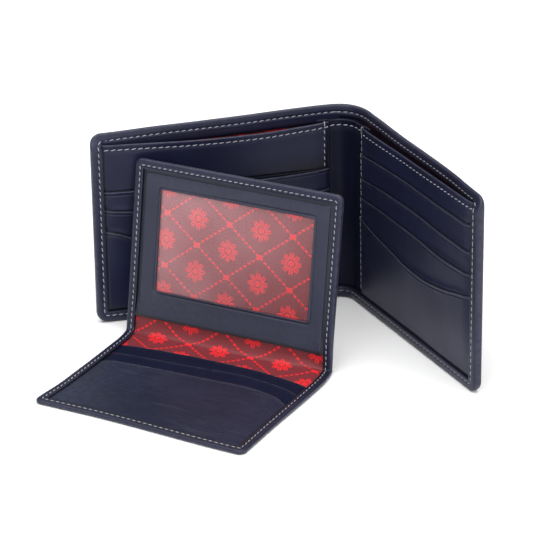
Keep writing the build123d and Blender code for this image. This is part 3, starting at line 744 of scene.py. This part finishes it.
# ---------------------------------------------------------------- stitches
def sew(name, runs, mp, surf, pitch, side=1, length=2.0, width=0.40, slant=10.0, only=None, seed=3, wraps=()):
    """Short slanted thread bridges along runs, sunk at both ends."""
    rng = np.random.RandomState(seed)
    A, T, C0 = [], [], []
    for run in runs:
        pts = np.asarray(run, float)
        flat = np.linalg.norm(np.diff(pts, axis=0), axis=1)
        solid = mp(pts[:, 0], surf(pts[:, 0], pts[:, 1]), pts[:, 1])
        seg = np.linalg.norm(np.diff(solid, axis=0), axis=1)
        cum = np.concatenate([[0], np.cumsum(seg)])
        mid = (cum[1:] + cum[:-1]) / 2
        total = cum[-1]
        n = max(1, int(round(total / pitch)))
        at = (np.arange(n) + 0.5) * total / n
        x, y = np.interp(at, cum, pts[:, 0]), np.interp(at, cum, pts[:, 1])
        e = 0.4
        x2, y2 = np.interp(np.clip(at + e, 0, total), cum, pts[:, 0]), np.interp(np.clip(at + e, 0, total), cum, pts[:, 1])
        x1, y1 = np.interp(np.clip(at - e, 0, total), cum, pts[:, 0]), np.interp(np.clip(at - e, 0, total), cum, pts[:, 1])
        t = np.stack([x2 - x1, y2 - y1], -1)
        t /= np.linalg.norm(t, axis=1)[:, None]
        A.append(np.stack([x, y], -1))
        T.append(t * np.interp(at, mid, flat / np.maximum(seg, 1e-6))[:, None])
    A, T = np.concatenate(A), np.concatenate(T)
    if only is not None:
        k = only(A[:, 0], A[:, 1])
        A, T = A[k], T[k]
    n = len(A)
    sl = np.radians(slant + rng.uniform(-2.5, 2.5, n))
    T = np.stack([T[:, 0] * np.cos(sl) - T[:, 1] * np.sin(sl), T[:, 0] * np.sin(sl) + T[:, 1] * np.cos(sl)], -1)
    L = length * rng.uniform(0.93, 1.05, n)
    ks = [0.0, 0.08, 0.26, 0.5, 0.74, 0.92, 1.0]
    rad = [0.45, 0.80, 1.0, 1.04, 1.0, 0.80, 0.45]
    lift = [-0.16, -0.05, 0.05, 0.08, 0.05, -0.05, -0.16]
    h = Heap()
    m = 7
    ang = np.arange(m) * 2 * pi / m
    rings = []
    for k, (t, r, up) in enumerate(zip(ks, rad, lift)):
        pq = A + T * ((t - 0.5) * L)[:, None]
        c = surf(pq[:, 0], pq[:, 1])
        base = mp(pq[:, 0], c, pq[:, 1])
        nrm = mp(pq[:, 0], c + side * 0.05, pq[:, 1]) - base
        nrm /= np.linalg.norm(nrm, axis=1)[:, None]
        f2 = pq + T * 0.05
        tan = mp(f2[:, 0], surf(f2[:, 0], f2[:, 1]), f2[:, 1]) - base
        tan /= np.linalg.norm(tan, axis=1)[:, None]
        wid = np.cross(nrm, tan)
        cen = base + nrm * up
        for i in range(m):
            pass
        ring_v = cen[:, None, :] + wid[:, None, :] * (np.cos(ang) * width / 2 * r)[None, :, None] \
            + nrm[:, None, :] * (np.sin(ang) * 0.15 * r)[None, :, None]
        u = np.broadcast_to((np.arange(n) * 3.1 + t * 2.0)[:, None], (n, m))
        v = np.broadcast_to((ang * 0.25)[None, :], (n, m))
        rings.append(h.add(ring_v, np.stack([u, v], -1).reshape(-1, 2)))
    for a, b in zip(rings, rings[1:]):
        for i in range(n):
            h.strip(a + i * m, b + i * m, m)
    for i in range(n):
        h.f.append(tuple(rings[0] + i * m + j for j in range(m)))
        h.f.append(tuple(rings[-1] + i * m + j for j in range(m)))
    for path in wraps:
        w = np.array([mp(*p) for p in path]).reshape(-1, 3)
        d = np.gradient(w, axis=0)
        d /= np.linalg.norm(d, axis=1)[:, None]
        across = mp(path[0][0] + 0.1, path[0][1], path[0][2]).reshape(3) - w[0]
        across /= np.linalg.norm(across)
        up = np.cross(across, d)
        rr = [h.add(w[i] + np.cos(ang)[:, None] * across * width / 2 + np.sin(ang)[:, None] * up[i] * 0.17,
                    np.stack([np.full(m, i * 0.8), ang * 0.25], -1)) for i in range(len(w))]
        for a, b in zip(rr, rr[1:]):
            h.strip(a, b, m)
        h.f.append(tuple(rr[0] + j for j in range(m)))
        h.f.append(tuple(rr[-1] + j for j in range(m)))
    obj = make(name, h, YARN, sharp=60.0, merge=1e-7)
    return obj


def loop_path(x0, x1, y0, y1, r, n=10):
    """Closed rounded rectangle, from the middle of the bottom side."""
    pts = [((x0 + x1) / 2, y0)]
    for cx, cy, a0 in ((x1 - r, y0 + r, -90), (x1 - r, y1 - r, 0), (x0 + r, y1 - r, 90), (x0 + r, y0 + r, 180)):
        for k in range(n + 1):
            a = radians(a0 + 90 * k / n)
            pts.append((cx + r * cos(a), cy + r * sin(a)))
    pts.append(((x0 + x1) / 2, y0))
    out = [pts[0]]
    for p in pts[1:]:
        d = sqrt((p[0] - out[-1][0]) ** 2 + (p[1] - out[-1][1]) ** 2)
        if d > 4:
            k = int(d / 2)
            q = out[-1]
            for i in range(1, k):
                out.append((q[0] + (p[0] - q[0]) * i / k, q[1] + (p[1] - q[1]) * i / k))
        if d > 1e-6:
            out.append(p)
    return out


# ================================================================ billfold
C0 = np.array([CX - 4.7302, CY - 6.0])
CHORD = np.array([cos(HALF), -sin(HALF)])


def bend_left(obj):
    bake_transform(obj)


def bend_right(obj):
    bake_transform(obj)


def side_of(co):
    return (np.array([co.x / MM, co.y / MM]) - C0) @ CHORD


def halves(name, heap, material, nodes_l, nodes_r, sheet=None):
    a = make(name + "_left", heap, material, keep=lambda c: side_of(c) < 0, seam=lambda c: abs(side_of(c)) < 1e-3)
    b = make(name + "_right", heap, material, keep=lambda c: side_of(c) > 0, seam=lambda c: abs(side_of(c)) < 1e-3)
    bend_left(a)
    bend_right(b)
    if nodes_l:
        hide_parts(*nodes_l)
    if nodes_r:
        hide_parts(*nodes_r)
    return a, b


S_ALL = np.array(sorted(set(list(np.round(np.linspace(L_IN, -16, 31), 3)) + list(np.round(np.linspace(-16, -8, 7), 3))
                            + list(np.round(np.linspace(-8, 8, 23), 3)) + [0.0] + list(np.round(np.linspace(8, 16, 7), 3))
                            + list(np.round(np.linspace(16, R_IN, 31), 3)))))
Z_ALL = np.array(list(np.linspace(5.0, 77.4, 19)) + [78.8, 79.0, 80.4, TALL - 5.0])

# painted shade: the inner face is dark where it shows in the gaps at the top, and the foot of the turned border is
# darker on the right leaf near the spine
hide = shell(LEAF_L, LEAF_R, 0.0, TALL, 5.0, 5.0, S_ALL, Z_ALL, bill_out, bill_hem, bill_in, bill, 1.55, 1.3, 3.3,
             inner_wear=lambda s, z: np.where(z > 78.9, -0.25 - 0.7 * ss(0, 6, s), -0.95),
             lip=lambda s, z: 1 - ss(77, 80, z) * ss(4, -3, s),
             border_painted_shade=lambda s, z, d: -0.55 * ss(6.6, 4.8, z) * ss(-6, 3, s) * ss(100, 45, s))
# painted shade along the very bottom edge and at the right leaf's outer end; lighter along the top band over part of
# each leaf
tone(hide, lambda x, y, z: -0.40 * ss(1.8, 0.7, z) * ss(0, 8, x) - 0.34 * ss(80, 86, x) + ss(78, 81, z) * (0.14 * ss(30, 0, x) * ss(-80, -60, x) + 0.20 * ss(58, 64, x) * ss(83, 78, x)))
halves("billfold_hide", hide, NAVY, ("left_cover", "left_turned_edge", "spine_cover"),
       ("right_cover", "right_turned_edge"))


def make_slab(name, heap, material, body, nodes):
    o = make(name, heap, material)
    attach(o, body)
    if nodes:
        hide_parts(*nodes)
    return o


def with_rims(P):
    ends = [P[0] + d for d in (0.35, 0.7, 1.05, 1.4)] + [P[-1] - d for d in (0.35, 0.7, 1.05, 1.4)]
    keep = [x for x in P[1:-1] if P[0] + 1.8 < x < P[-1] - 1.8]
    return np.array(sorted([P[0], P[-1]] + ends + keep))


LP = with_rims(spaced(L_IN + 0.03, SEAM_L, 2.0))
RP = with_rims(spaced(SEAM_R, R_IN - 0.03, 2.0))
CREASE = ((1.5, 0.20, 0.22), (0.45, -0.12, 0.42))
left_top = smooth_through([(-107, 82.0), (-90, 81.6), (-60, 81.0), (-38, 80.9), (-20, 81.9), (-7, 83.0)])
left_leather = slab(LP, 5.04, left_top, left_panel, 0.5, bill, lines=((2.3, 0.16, 0.26), (0.8, -0.08, 0.6)), nz=24, roll=0.3, dip=0.25, under=mouth_pass)
# painted shadow above the pass pocket's gaping mouth, towards the spine
tone(left_leather, lambda x, y, z: -0.85 * ss(71, 62.5, z) * ss(0, 48, x))       # dark where the pass pocket's mouth gapes
make_slab("left_panel_leather", left_leather, NAVY_IN, "left_leaf", ("left_inner_panel",))
make_slab("left_pass_leather", slab(LP, 5.04, mouth_pass, left_pass, 0.36, bill, lines=CREASE, nz=24, uv=(0, 120), roll=0.28, dip=0.25, under=mouth_l1),
          NAVY_IN, "left_leaf", ("left_pass_pocket",))
make_slab("left_pocket_leather_1", slab(LP, 5.04, mouth_l1, left_up, 0.36, bill, lines=CREASE, nz=20, uv=(130, 0), roll=0.28, dip=0.25, under=mouth_l2),
          NAVY_IN, "left_leaf", ("left_card_pocket_upper",))
make_slab("left_pocket_leather_2", slab(LP, 5.04, mouth_l2, left_low, 0.36, bill, lines=CREASE, nz=18, uv=(130, 120), roll=0.28, dip=0.25),
          NAVY_IN, "left_leaf", ("left_card_pocket_lower",))
make_slab("right_panel_leather", slab(RP, 5.04, 83.2, right_panel, 0.5, bill, lines=((2.9, 0.16, 0.26), (0.8, -0.08, 0.6)), nz=24, roll=0.3, dip=0.25, under=mouth_r1),
          NAVY_IN, "right_leaf", ("right_inner_panel",))
for i, m in enumerate((mouth_r1, mouth_r2, mouth_r3, mouth_r4)):
    make_slab("right_pocket_leather_%d" % (i + 1), slab(RP, 5.04, m, _r[i + 1], 0.36, bill, lines=CREASE, nz=22, uv=(40 * i, 110 + 30 * i), roll=0.28, dip=0.25, under=(mouth_r2, mouth_r3, mouth_r4, None)[i]),
              NAVY_IN if i < 3 else NAVY_IN, "right_leaf", ("right_card_pocket_%d" % (i + 1),))

# gusset between the panels, down the spine
GS = np.array(sorted(set(list(np.round(np.linspace(-12.4, -8.6, 5), 3)) + list(np.round(np.linspace(-8.2, 9.7, 30), 3)) + [0.0]
                         + list(np.round(np.linspace(10.0, 14.0, 5), 3)))))


def gusset_front(s, z):
    tuck = np.maximum(ss(-6.9, -8.2, s), ss(8.4, 9.7, s))
    return -1.75 - 0.95 * tuck + 0.12 * np.sin(z / 13.0 + 1.0) * bell(s, 0, 4.0)


gusset = slab(GS, 5.04, 83.5, gusset_front, 0.35, bill, lines=((2.6, 0.14, 0.26),), nz=24, uv=(0, 260), roll=0.15)
halves("gusset_leather", gusset, NAVY_SPINE_PAINTED_SHADE, ("spine_gusset",), ())


# ------------------------------------------------------- billfold linings
def bill_lining(s, z):
    return -(b_out(s, z) - 1.2) + 0.22


BL = np.array(sorted(set(list(np.round(np.linspace(L_IN + 0.1, -16, 31), 3)) + list(np.round(np.linspace(-16, 16, 33), 3)) + [0.0]
                         + list(np.round(np.linspace(16, R_IN - 0.1, 31), 3)))))
lining_top = smooth_through([(-107, 76.0), (-98, 77.0), (-88, 78.6), (-20, 78.7), (-4, 78.6), (6, 76.6), (13, 78.2), (18, 78.2), (24, 76.6), (105, 76.0)])
lin = slab(BL, 5.1, lining_top, bill_lining, 0.16, bill, nz=16, edge_wear=0.0, uv=(0, 0))
la, lb = halves("bill_lining", lin, SATIN_BILL, ("left_bill_lining", "spine_bill_lining"), ("right_bill_lining",))
def cut_area(P, top, foot):
    h = top(P) - foot
    return float(np.sum((h[1:] + h[:-1]) / 2 * np.diff(P)) * MM * MM)


cut_area(BL[BL <= 0], lining_top, 5.1)
cut_area(BL[BL >= 0], lining_top, 5.1)

pl = make_slab("left_panel_lining_cloth", slab(spaced(L_IN + 0.1, SEAM_L - 0.6, 3.0), 5.2, lambda s: left_top(s) - 0.9, lambda s, z: left_panel(s, z) - 0.53 - 0.5 * bell(z, left_top(s), 1.6), 0.14, bill,
               nz=20, edge_wear=0.0, uv=(20, 200)), SATIN, "left_leaf", ("left_panel_lining",))
pr = make_slab("right_panel_lining_cloth", slab(spaced(SEAM_R + 0.6, R_IN - 0.1, 3.0), 5.2, 80.4, lambda s, z: right_panel(s, z) - 0.53 - 0.5 * bell(z, 83.2, 1.6), 0.14, bill,
               nz=20, edge_wear=0.0, uv=(20, 300)), SATIN, "right_leaf", ("right_panel_lining",))
PL = spaced(L_IN + 0.1, SEAM_L - 0.6, 3.0)
cut_area(PL, left_top, 6.1)


# ------------------------------------------------------- billfold stitches
def bill_hem_top(s, z):
    return bill_hem(s, z) - 0.12


def bill_back_top(s, z):
    return bill_out(s, z) + 0.07


def right_top(s, z):
    c = _r[0](s, z) - 0.10 * bell(z, 79.9, 0.4)
    for m, f in zip((mouth_r1, mouth_r2, mouth_r3, mouth_r4), _r[1:]):
        c = np.where(z < m(s) + 0.1, f(s, z), c)
    return c


def inner_row(s, z):
    c = np.where(s < SEAM_L, left_panel(s, z), np.where(s > SEAM_R, _r[0](s, z), gusset_front(s, z)))
    return c - 0.10


rim_path = loop_path(LEAF_L + 3.3, LEAF_R - 3.3, 3.3, TALL - 3.3, 1.7)
neg = lambda p, q: p < 0
pos = lambda p, q: p >= 0
t1 = sew("thread_border_left", [rim_path], bill, bill_hem_top, 2.9, only=lambda p, q: (p < 0) & ((p < -10.0) | (q >= 6.0)))
t11 = sew("thread_border_spine_foot", [rim_path], bill, bill_hem_top, 2.9, length=2.25, only=lambda p, q: (p < 0) & (p >= -10.0) & (q < 6.0))
t2 = sew("thread_border_right", [rim_path], bill, bill_hem_top, 2.9, length=2.25, only=lambda p, q: (p >= 0) & (q >= 6.0))
t10 = sew("thread_border_right_foot", [rim_path], bill, bill_hem_top, 2.9, length=2.25, only=lambda p, q: (p >= 0) & (q < 6.0))
t3 = sew("thread_outside_left", [rim_path], bill, bill_back_top, 2.9, side=-1, slant=-9.0, only=neg)
t4 = sew("thread_outside_right", [rim_path], bill, bill_back_top, 2.9, side=-1, slant=-9.0, only=pos)
def row_height(s):
    return (left_top(np.minimum(s, -7.0)) - 2.3) * ss(-5.5, -8.5, s) + 80.9 * ss(-8.5, -5.5, s) * ss(11.0, 7.0, s) + 80.3 * ss(7.0, 11.0, s)


def wrap(s0, z0, front, back):
    """The seam's last stitch, taken over the top edge."""
    return [(s0, front + 0.10, z0 - 2.3), (s0, front + 0.22, z0 - 1.4), (s0, front + 0.22, z0 - 0.4), (s0, front + 0.02, z0 + 0.16),
            (s0, (front + back) / 2, z0 + 0.22), (s0, back + 0.05, z0 + 0.05), (s0, back - 0.12, z0 - 0.6), (s0, back + 0.05, z0 - 1.5)]


top_row = [[(s, float(row_height(s))) for s in np.linspace(L_IN + 0.4, R_IN - 0.4, 240)]]
t5 = sew("thread_inner_left", top_row + [[(-10.1 + 0.724, z) for z in np.linspace(79.8, 61.9, 28)]], bill, inner_row, 2.9, length=2.3, only=neg,
         wraps=[wrap(-10.1 + 0.724, float(left_top(-9.4)), float(left_panel(-9.4, 81.0)), float(left_panel(-9.4, 81.0)) - 0.8)])
t6 = sew("thread_inner_right", top_row, bill, inner_row, 2.9, length=2.2, only=pos)
t7 = sew("thread_seam_right", [[(10.6 - 0.724, z) for z in np.linspace(80.6, 7.5, 78)]], bill, lambda s, z: right_top(s, z) - 0.05, 2.9, length=2.45,
         wraps=[wrap(10.6 - 0.724, 83.2, float(right_panel(9.9, 82.0)), float(right_panel(9.9, 82.0)) - 0.8)])
for o in (t1, t3, t11):
    bend_left(o)
for o in (t2, t4, t10):
    bend_right(o)
bend_left(t5)
bend_right(t6)
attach(t7, "right_leaf")
# painted shade: the dimmer thread on the right seam and on the bottom rows of the right leaf and the spine
for o in (t7, t10, t11):
    o.data.materials[0] = YARN_SHADED
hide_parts("left_stitching", "spine_stitching")
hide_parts("right_stitching")


# =============================================================== pass case
OX, OY = -41.26, 47.85
E1 = np.array([0.759271, -0.650774])
E2 = np.array([-0.650774, -0.759271])
CV, CZ, CR = 0.527, 4.0, 4.0
BEND = radians(80.2)
CA = CR * BEND / 2


def case(u, c, t):
    """u along the fold, t over the outside from the front edge to the top, c thickness."""
    u, c, t = np.broadcast_arrays(*(np.asarray(a, float) for a in (u, c, t)))
    b = np.clip((t + CA) / CR, 0, BEND)
    v = CV - (CR - c) * np.sin(b) - np.cos(b) * (np.minimum(t + CA, 0) + np.maximum(t - CA, 0))
    u0 = u
    on = ss(4, -12, t)                                    # on the base
    u = (u0 + on * 1.1 + 0.6 * on * ss(60, 25, -t) * (1 - u0 / 98) - 0.7 * ss(20, 60, -t) * (u0 / 98) - 0.6 * (1 - on) * (u0 / 98)
         - 1.5 * ss(12, 0, u0) * ss(-56, -78, t))
    v = v + (3.4 * ss(20, 98, u0) - 1.2) * np.clip(v / 76.0, 0, 1)
    end = ss(76, 97, u0)                            # the fold is squarer at its right end
    v = v + (0.95 - 1.5 * end) * ss(-16, -2, t) * ss(16, 1, t)   # and rounder than its core elsewhere
    z = CZ - (CR - c) * np.cos(b) + np.sin(b) * (np.minimum(t + CA, 0) + np.maximum(t - CA, 0))
    z = z - 1.5 * end * ss(-3, 3.5, t) * ss(16, 5, t)
    return np.stack([OX + u * E1[0] + v * E2[0], OY + u * E1[1] + v * E2[1], z], -1)


CB = 4.0
U0, U1 = -0.6, 97.6
T0, T1 = -78.30, 76.55


def t_base(v):
    return CV - v - CA


def t_lid(w):
    return w - 3.852 + CA


def case_out(u, t):
    return np.zeros(np.shape(u)) + 0.0


def case_hem(u, t):
    return 2.30 - 0.10 * bell(t, 0, 6.0) + 0.50 * ss(4, 14, t) - 0.45 * ss(-15, -65, t)


def case_in(u, t):
    return np.full(np.shape(u), 0.88)


UU = np.linspace(U0 + 3, U1 - 3, 40)
TT = np.array(sorted(set(list(np.round(np.linspace(T0 + 3, -9, 16), 3)) + list(np.round(np.linspace(-9, 12, 25), 3))
                         + list(np.round(np.linspace(12, T1 - 3, 15), 3)))))
# painted shade on the border inside the stitch line, stronger on the base
cover = shell(U0, U1, T0, T1, 3.0, CB, UU, TT, case_out, case_hem, case_in, case, 1.0, 0.95, 2.5, groove=0.16,
              border_painted_shade=lambda u, t, d: -(0.48 + 0.20 * ss(0, -8, t)) * ss(2.45, 2.95, d))
# the underside lies on the floor, so nothing bulges below it
for v in cover.v:
    v[:, 2] = np.maximum(v[:, 2], 0.0)
# darker low down, more so towards the right end
tone(cover, lambda x, y, z: ss(9, 5, z) * (-0.10 - 0.28 * ss(5, 45, (x - OX) * E1[0] + (y - OY) * E1[1])))
hide2 = make("pass_case_hide", cover, NAVY)


def bend_case(o):
    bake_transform(o)


bend_case(hide2)
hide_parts("case_base_cover", "case_fold_cover", "case_lid_cover")


# lining over the fold, loose between the pockets and the frame
def case_lining(u, t):
    swing = 0.82 + 0.18 * np.sin(u / 15.0 + 0.9)
    side = ss(0, 7, u - 3.4) * ss(0, 7, 93.6 - u)
    return (1.06 + 0.80 * bell(t, -0.5, 4.6) * side + side * (0.16 * swing * bell(t, 6.3, 0.9) - 0.34 * bell(t, 4.7, 1.0)
            + 0.10 * bell(t, -6.0, 2.4) * np.sin(u / 9.0)))


cl = slab(spaced(U0 + CB + 0.05, U1 - CB - 0.05, 2.0), T0 + CB + 0.1, T1 - CB - 0.1, case_lining, 0.14, case, nz=110, edge_wear=0.0, uv=(0, 0))
lining2 = make("pass_case_lining", cl, SATIN_CASE)
bend_case(lining2)
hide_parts("case_base_lining", "case_fold_lining", "case_lid_lining")

# base pockets
CE = U0 + CB + 0.04, U1 - CB - 0.04


def taper_c(u):
    return ss(0, 6, u - CE[0]) * ss(0, 6, CE[1] - u)


pa = smooth_through([(4, 13.4), (20, 11.6), (42, 10.3), (61, 10.1), (80, 12.0), (94, 14.7)])
pb = smooth_through([(4, 22.2), (9, 21.8), (46.5, 19.2), (64.6, 17.5), (80, 19.3), (94, 22.9)])
pc = smooth_through([(4, 31.2), (13.7, 30.1), (51.4, 28.0), (70, 26.9), (84, 28.9), (94, 33.2)])
ma, mb, mc = (lambda u: t_base(pa(u))), (lambda u: t_base(pb(u))), (lambda u: t_base(pc(u)))


def case_stack(layers, step):
    fns = []
    for mouth, low, crown, lift in reversed(layers):
        over = fns[-1] if fns else None

        def fn(u, t, mouth=mouth, low=low, crown=crown, lift=lift, over=over):
            e = taper_c(u)
            own = low - 0.22 * ss(-15, -65, t) + crown * e * ss(1, 20, t - (T0 + CB)) + lift * e * np.exp(-np.clip(mouth(u) - t, 0, None) / 4.0)
            if over is not None:
                m2, f2 = over
                w = ss(2.6, -0.1, t - m2(u))
                own = own * (1 - w) + (f2(u, t) - step) * w
            return own
        fns.append((mouth, fn))
    return [f for _, f in reversed(fns)]


_c = case_stack([(ma, 1.36, 0.10, 0.16), (mb, 1.50, 0.20, 0.26), (mc, 1.66, 0.60, 0.26)], 0.25)
CP = with_rims(spaced(CE[0], CE[1], 2.0))
for nm, node, m, f, mat, uo in (("case_pocket_leather_back", "case_pocket_back", ma, _c[0], NAVY_MATT, (0, 500)),
                                ("case_pocket_leather_middle", "case_pocket_middle", mb, _c[1], NAVY_MATT, (0, 600)),
                                ("case_pocket_leather_front", "case_pocket_front", mc, _c[2], NAVY_GLAZED, (0, 700))):
    pocket = slab(CP, T0 + CB + 0.04, m, f, 0.24, case, lines=((1.25, 0.08, 0.2), (0.4, -0.06, 0.35)), nz=20, uv=uo, roll=0.14, dip=0.16,
                  under={"case_pocket_back": mb, "case_pocket_middle": mc, "case_pocket_front": None}[node])
    if node == "case_pocket_front":
        # painted sheen towards the left end of the front pocket
        tone(pocket, lambda x, y, z: 0.17 * ss(50, 8, (x - OX) * E1[0] + (y - OY) * E1[1]))
    make_slab(nm, pocket, mat, "case_base", (node,))


# window frame: rings from the opening out to the border
def window_frame():
    h = Heap()
    wx0, wx1, wy0, wy1 = 12.4, 85.2, t_lid(21.35), t_lid(65.75)
    fx0, fx1, fy0, fy1 = CE[0] + 0.02, CE[1] - 0.02, t_lid(9.15), T1 - CB - 0.06
    nx, ny, na = 36, 24, 6
    r = 0.9

    def loop(x0, x1, y0, y1, r):
        out = []
        for cx, cy, a0, n, horiz in ((x1 - r, y0 + r, -90, ny, 0), (x1 - r, y1 - r, 0, nx, 1), (x0 + r, y1 - r, 90, ny, 0), (x0 + r, y0 + r, 180, nx, 1)):
            for k in range(na + 1):
                a = radians(a0 + 90 * k / na)
                out.append((cx + r * cos(a), cy + r * sin(a)))
            nxt = {(-90): (x1, y1 - r), 0: (x0 + r, y1), 90: (x0, y0 + r), 180: (x1 - r, y0)}[a0]
            p = out[-1]
            for k in range(1, n):
                out.append((p[0] + (nxt[0] - p[0]) * k / n, p[1] + (nxt[1] - p[1]) * k / n))
        return np.array(out)

    inner = lambda d: loop(wx0 - d, wx1 + d, wy0 - d, wy1 + d, r + d)
    outer = lambda d: loop(fx0 + d, fx1 - d, fy0 + d, fy1 - d, 0.35)
    top, t = 2.16, 0.50
    rows = []
    rows.append((inner(0.05), lambda p: top - t, 0.0, 0))
    for al in (0, 30, 60, 90):
        d = 0.28 * (1 - cos(radians(al)))
        rows.append((inner(d), lambda p, al=al: top - 0.28 * (1 - sin(radians(al))), -0.8 if al < 50 else 0.3, 0))
    # a groove round the opening: painted shade in it and painted highlight on its shoulders
    for d, g, w in ((0.5, -0.02, 0.2), (0.8, 0.05, 0.1), (1.0, 0.20, -0.4), (1.2, 0.28, -0.7), (1.4, 0.20, -0.3), (1.62, 0.04, 0.15), (2.0, -0.04, 0), (2.6, -0.03, 0)):
        rows.append((inner(d), lambda p, g=g: top - g, w, 0))
    a, b = inner(2.6), outer(1.9)
    for k in (0.25, 0.5, 0.75):
        rows.append((a + (b - a) * k, lambda p, k=k: top + 0.07 * sin(pi * k), 0.0, 0))
    lift = lambda p: 0.55 * ss(fy0 + 9.0, fy0, p[:, 1])      # the free lower edge stands off the lining
    foot = lambda p: ss(fy0 + 1.6, fy0 + 2.6, p[:, 1])       # no trough along the free lower edge
    # the trough along the border: painted shade in it and on the border's rolled edge
    for d, g, w in ((1.9, 0.0, 0.0), (1.6, 0.03, 0.1), (1.45, 0.12, 0.1), (1.32, 0.30, -0.3), (1.2, 0.42, -0.8), (0.8, 0.46, -0.95), (0.45, 0.46, -0.95)):
        rows.append((outer(d), lambda p, g=g: top - g * foot(p), w, 0))
    for al in (90, 60, 30, 0):
        d = 0.3 * (1 - cos(radians(al)))
        rows.append((outer(d), lambda p, al=al: top - 0.46 * foot(p) - (0.3 - 0.27 * foot(p)) * (1 - sin(radians(al))), -0.6, 0))
    rows.append((outer(0.0), lambda p: top - t, 0.0, 0))
    idx = []
    for pts, z, w, _ in rows:
        c = np.zeros(len(pts)) + z(pts) + lift(pts)
        idx.append(h.add(case(pts[:, 0], c, pts[:, 1]), pts + [0, 900], w))
    n = len(rows[0][0])
    for p, q in zip(idx, idx[1:]):
        h.strip(p, q, n)
    h.strip(idx[-1], idx[0], n)
    return h


frame_leather = window_frame()
# painted sheen on the frame's top and bottom bands
tone(frame_leather, lambda x, y, z: 0.13 * (ss(62, 67, z) + ss(23, 18, z)) * ss(9.5, 12, z))
make_slab("window_frame_leather", frame_leather, NAVY_FRAME, "case_lid", ("case_window_frame",))
fw = slab(spaced(10.6, 88.2, 4.0), t_lid(18.0), t_lid(68.4), lambda u, t: 1.52 + 0.04 * np.sin(u / 11.0) * np.sin((t - 18) / 9.0), 0.10, case,
          nz=16, edge_wear=0.0)
make_slab("clear_window_film", fw, FILM, "case_lid", ("case_clear_window",))

case_path = loop_path(U0 + 2.5, U1 - 2.5, T0 + 2.5, T1 - 2.5, 0.9)
t8 = sew("thread_case_inside", [case_path], case, lambda u, t: case_hem(u, t) - 0.10, 2.6, length=1.8, width=0.42, slant=8.0)
t9 = sew("thread_case_outside", [case_path], case, lambda u, t: 0.02 + 0.0 * u, 2.6, side=-1, length=1.8, width=0.42, slant=-8.0,
         only=lambda p, q: q > 1.0)
# painted shade: the dimmer thread on the case's inner stitches
t8.data.materials[0] = YARN_CASE_PAINTED_SHADE
for o in (t8, t9):
    bend_case(o)
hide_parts("case_base_stitching", "case_lid_stitching")


# ------------------------------------------------------------- the studio
def plane(name, size, at, material):
    m = bpy.data.meshes.new(name)
    s = size / 2
    m.from_pydata([(-s, -s, 0), (s, -s, 0), (s, s, 0), (-s, s, 0)], [], [(0, 1, 2, 3)])
    m.materials.append(material)
    o = bpy.data.objects.new(name, m)
    o.location = at
    bpy.context.scene.collection.objects.link(o)
    return o


k = Nodes("white_floor")
k.finish(Base_Color=(0.92, 0.92, 0.92, 1), Roughness=0.9, Specular_IOR_Level=0.1)
floor = plane("floor", 12.0, (0, 0, -0.00015), k.m)

world = bpy.data.worlds.new("studio")
world.use_nodes = True
bg = world.node_tree.nodes["Background"]
bpy.context.scene.world = world
wt = world.node_tree
geo = wt.nodes.new("ShaderNodeTexCoord")
part = wt.nodes.new("ShaderNodeSeparateXYZ")
wt.links.new(geo.outputs["Generated"], part.inputs[0])
rise = wt.nodes.new("ShaderNodeMapRange")
rise.interpolation_type = "SMOOTHSTEP"
rise.inputs[1].default_value, rise.inputs[2].default_value = 0.05, 0.75
rise.inputs[3].default_value, rise.inputs[4].default_value = 0.0, 0.35
wt.links.new(part.outputs[2], rise.inputs[0])
front = wt.nodes.new("ShaderNodeMapRange")
front.interpolation_type = "SMOOTHSTEP"
front.inputs[1].default_value, front.inputs[2].default_value = 0.25, -0.75
front.inputs[3].default_value, front.inputs[4].default_value = 0.18, 1.0
wt.links.new(part.outputs[1], front.inputs[0])
both = wt.nodes.new("ShaderNodeMath")
wt.links.new(rise.outputs[0], both.inputs[0])
wt.links.new(front.outputs[0], both.inputs[1])
bg.inputs[0].default_value = (1.0, 1.0, 1.0, 1)
wt.links.new(both.outputs[0], bg.inputs[1])


def softbox(name, at, aim, size, power):
    d = bpy.data.lights.new(name, "AREA")
    d.shape = "RECTANGLE"
    d.size, d.size_y = size
    d.energy = power
    o = bpy.data.objects.new(name, d)
    bpy.context.scene.collection.objects.link(o)
    f = np.array(aim, float) - np.array(at, float)
    f /= np.linalg.norm(f)
    r = np.cross(f, [0, 0, 1.0])
    r /= np.linalg.norm(r)
    u = np.cross(r, f)
    m = Matrix.Identity(4)
    for i in range(3):
        m[i][0], m[i][1], m[i][2], m[i][3] = r[i], u[i], -f[i], at[i]
    o.matrix_world = m
    return o


softbox("overhead", (0.0, -0.10, 1.4), (0.0, 0.0, 0.0), (1.9, 1.9), 25.0)
softbox("key_left", (-0.8, -1.1, 0.9), (0.0, 0.0, 0.04), (0.9, 0.9), 3.7)

view = bpy.context.scene.view_settings
view.view_transform = "Standard"
view.look = "None"
view.exposure = 0.0
view.gamma = 1.0
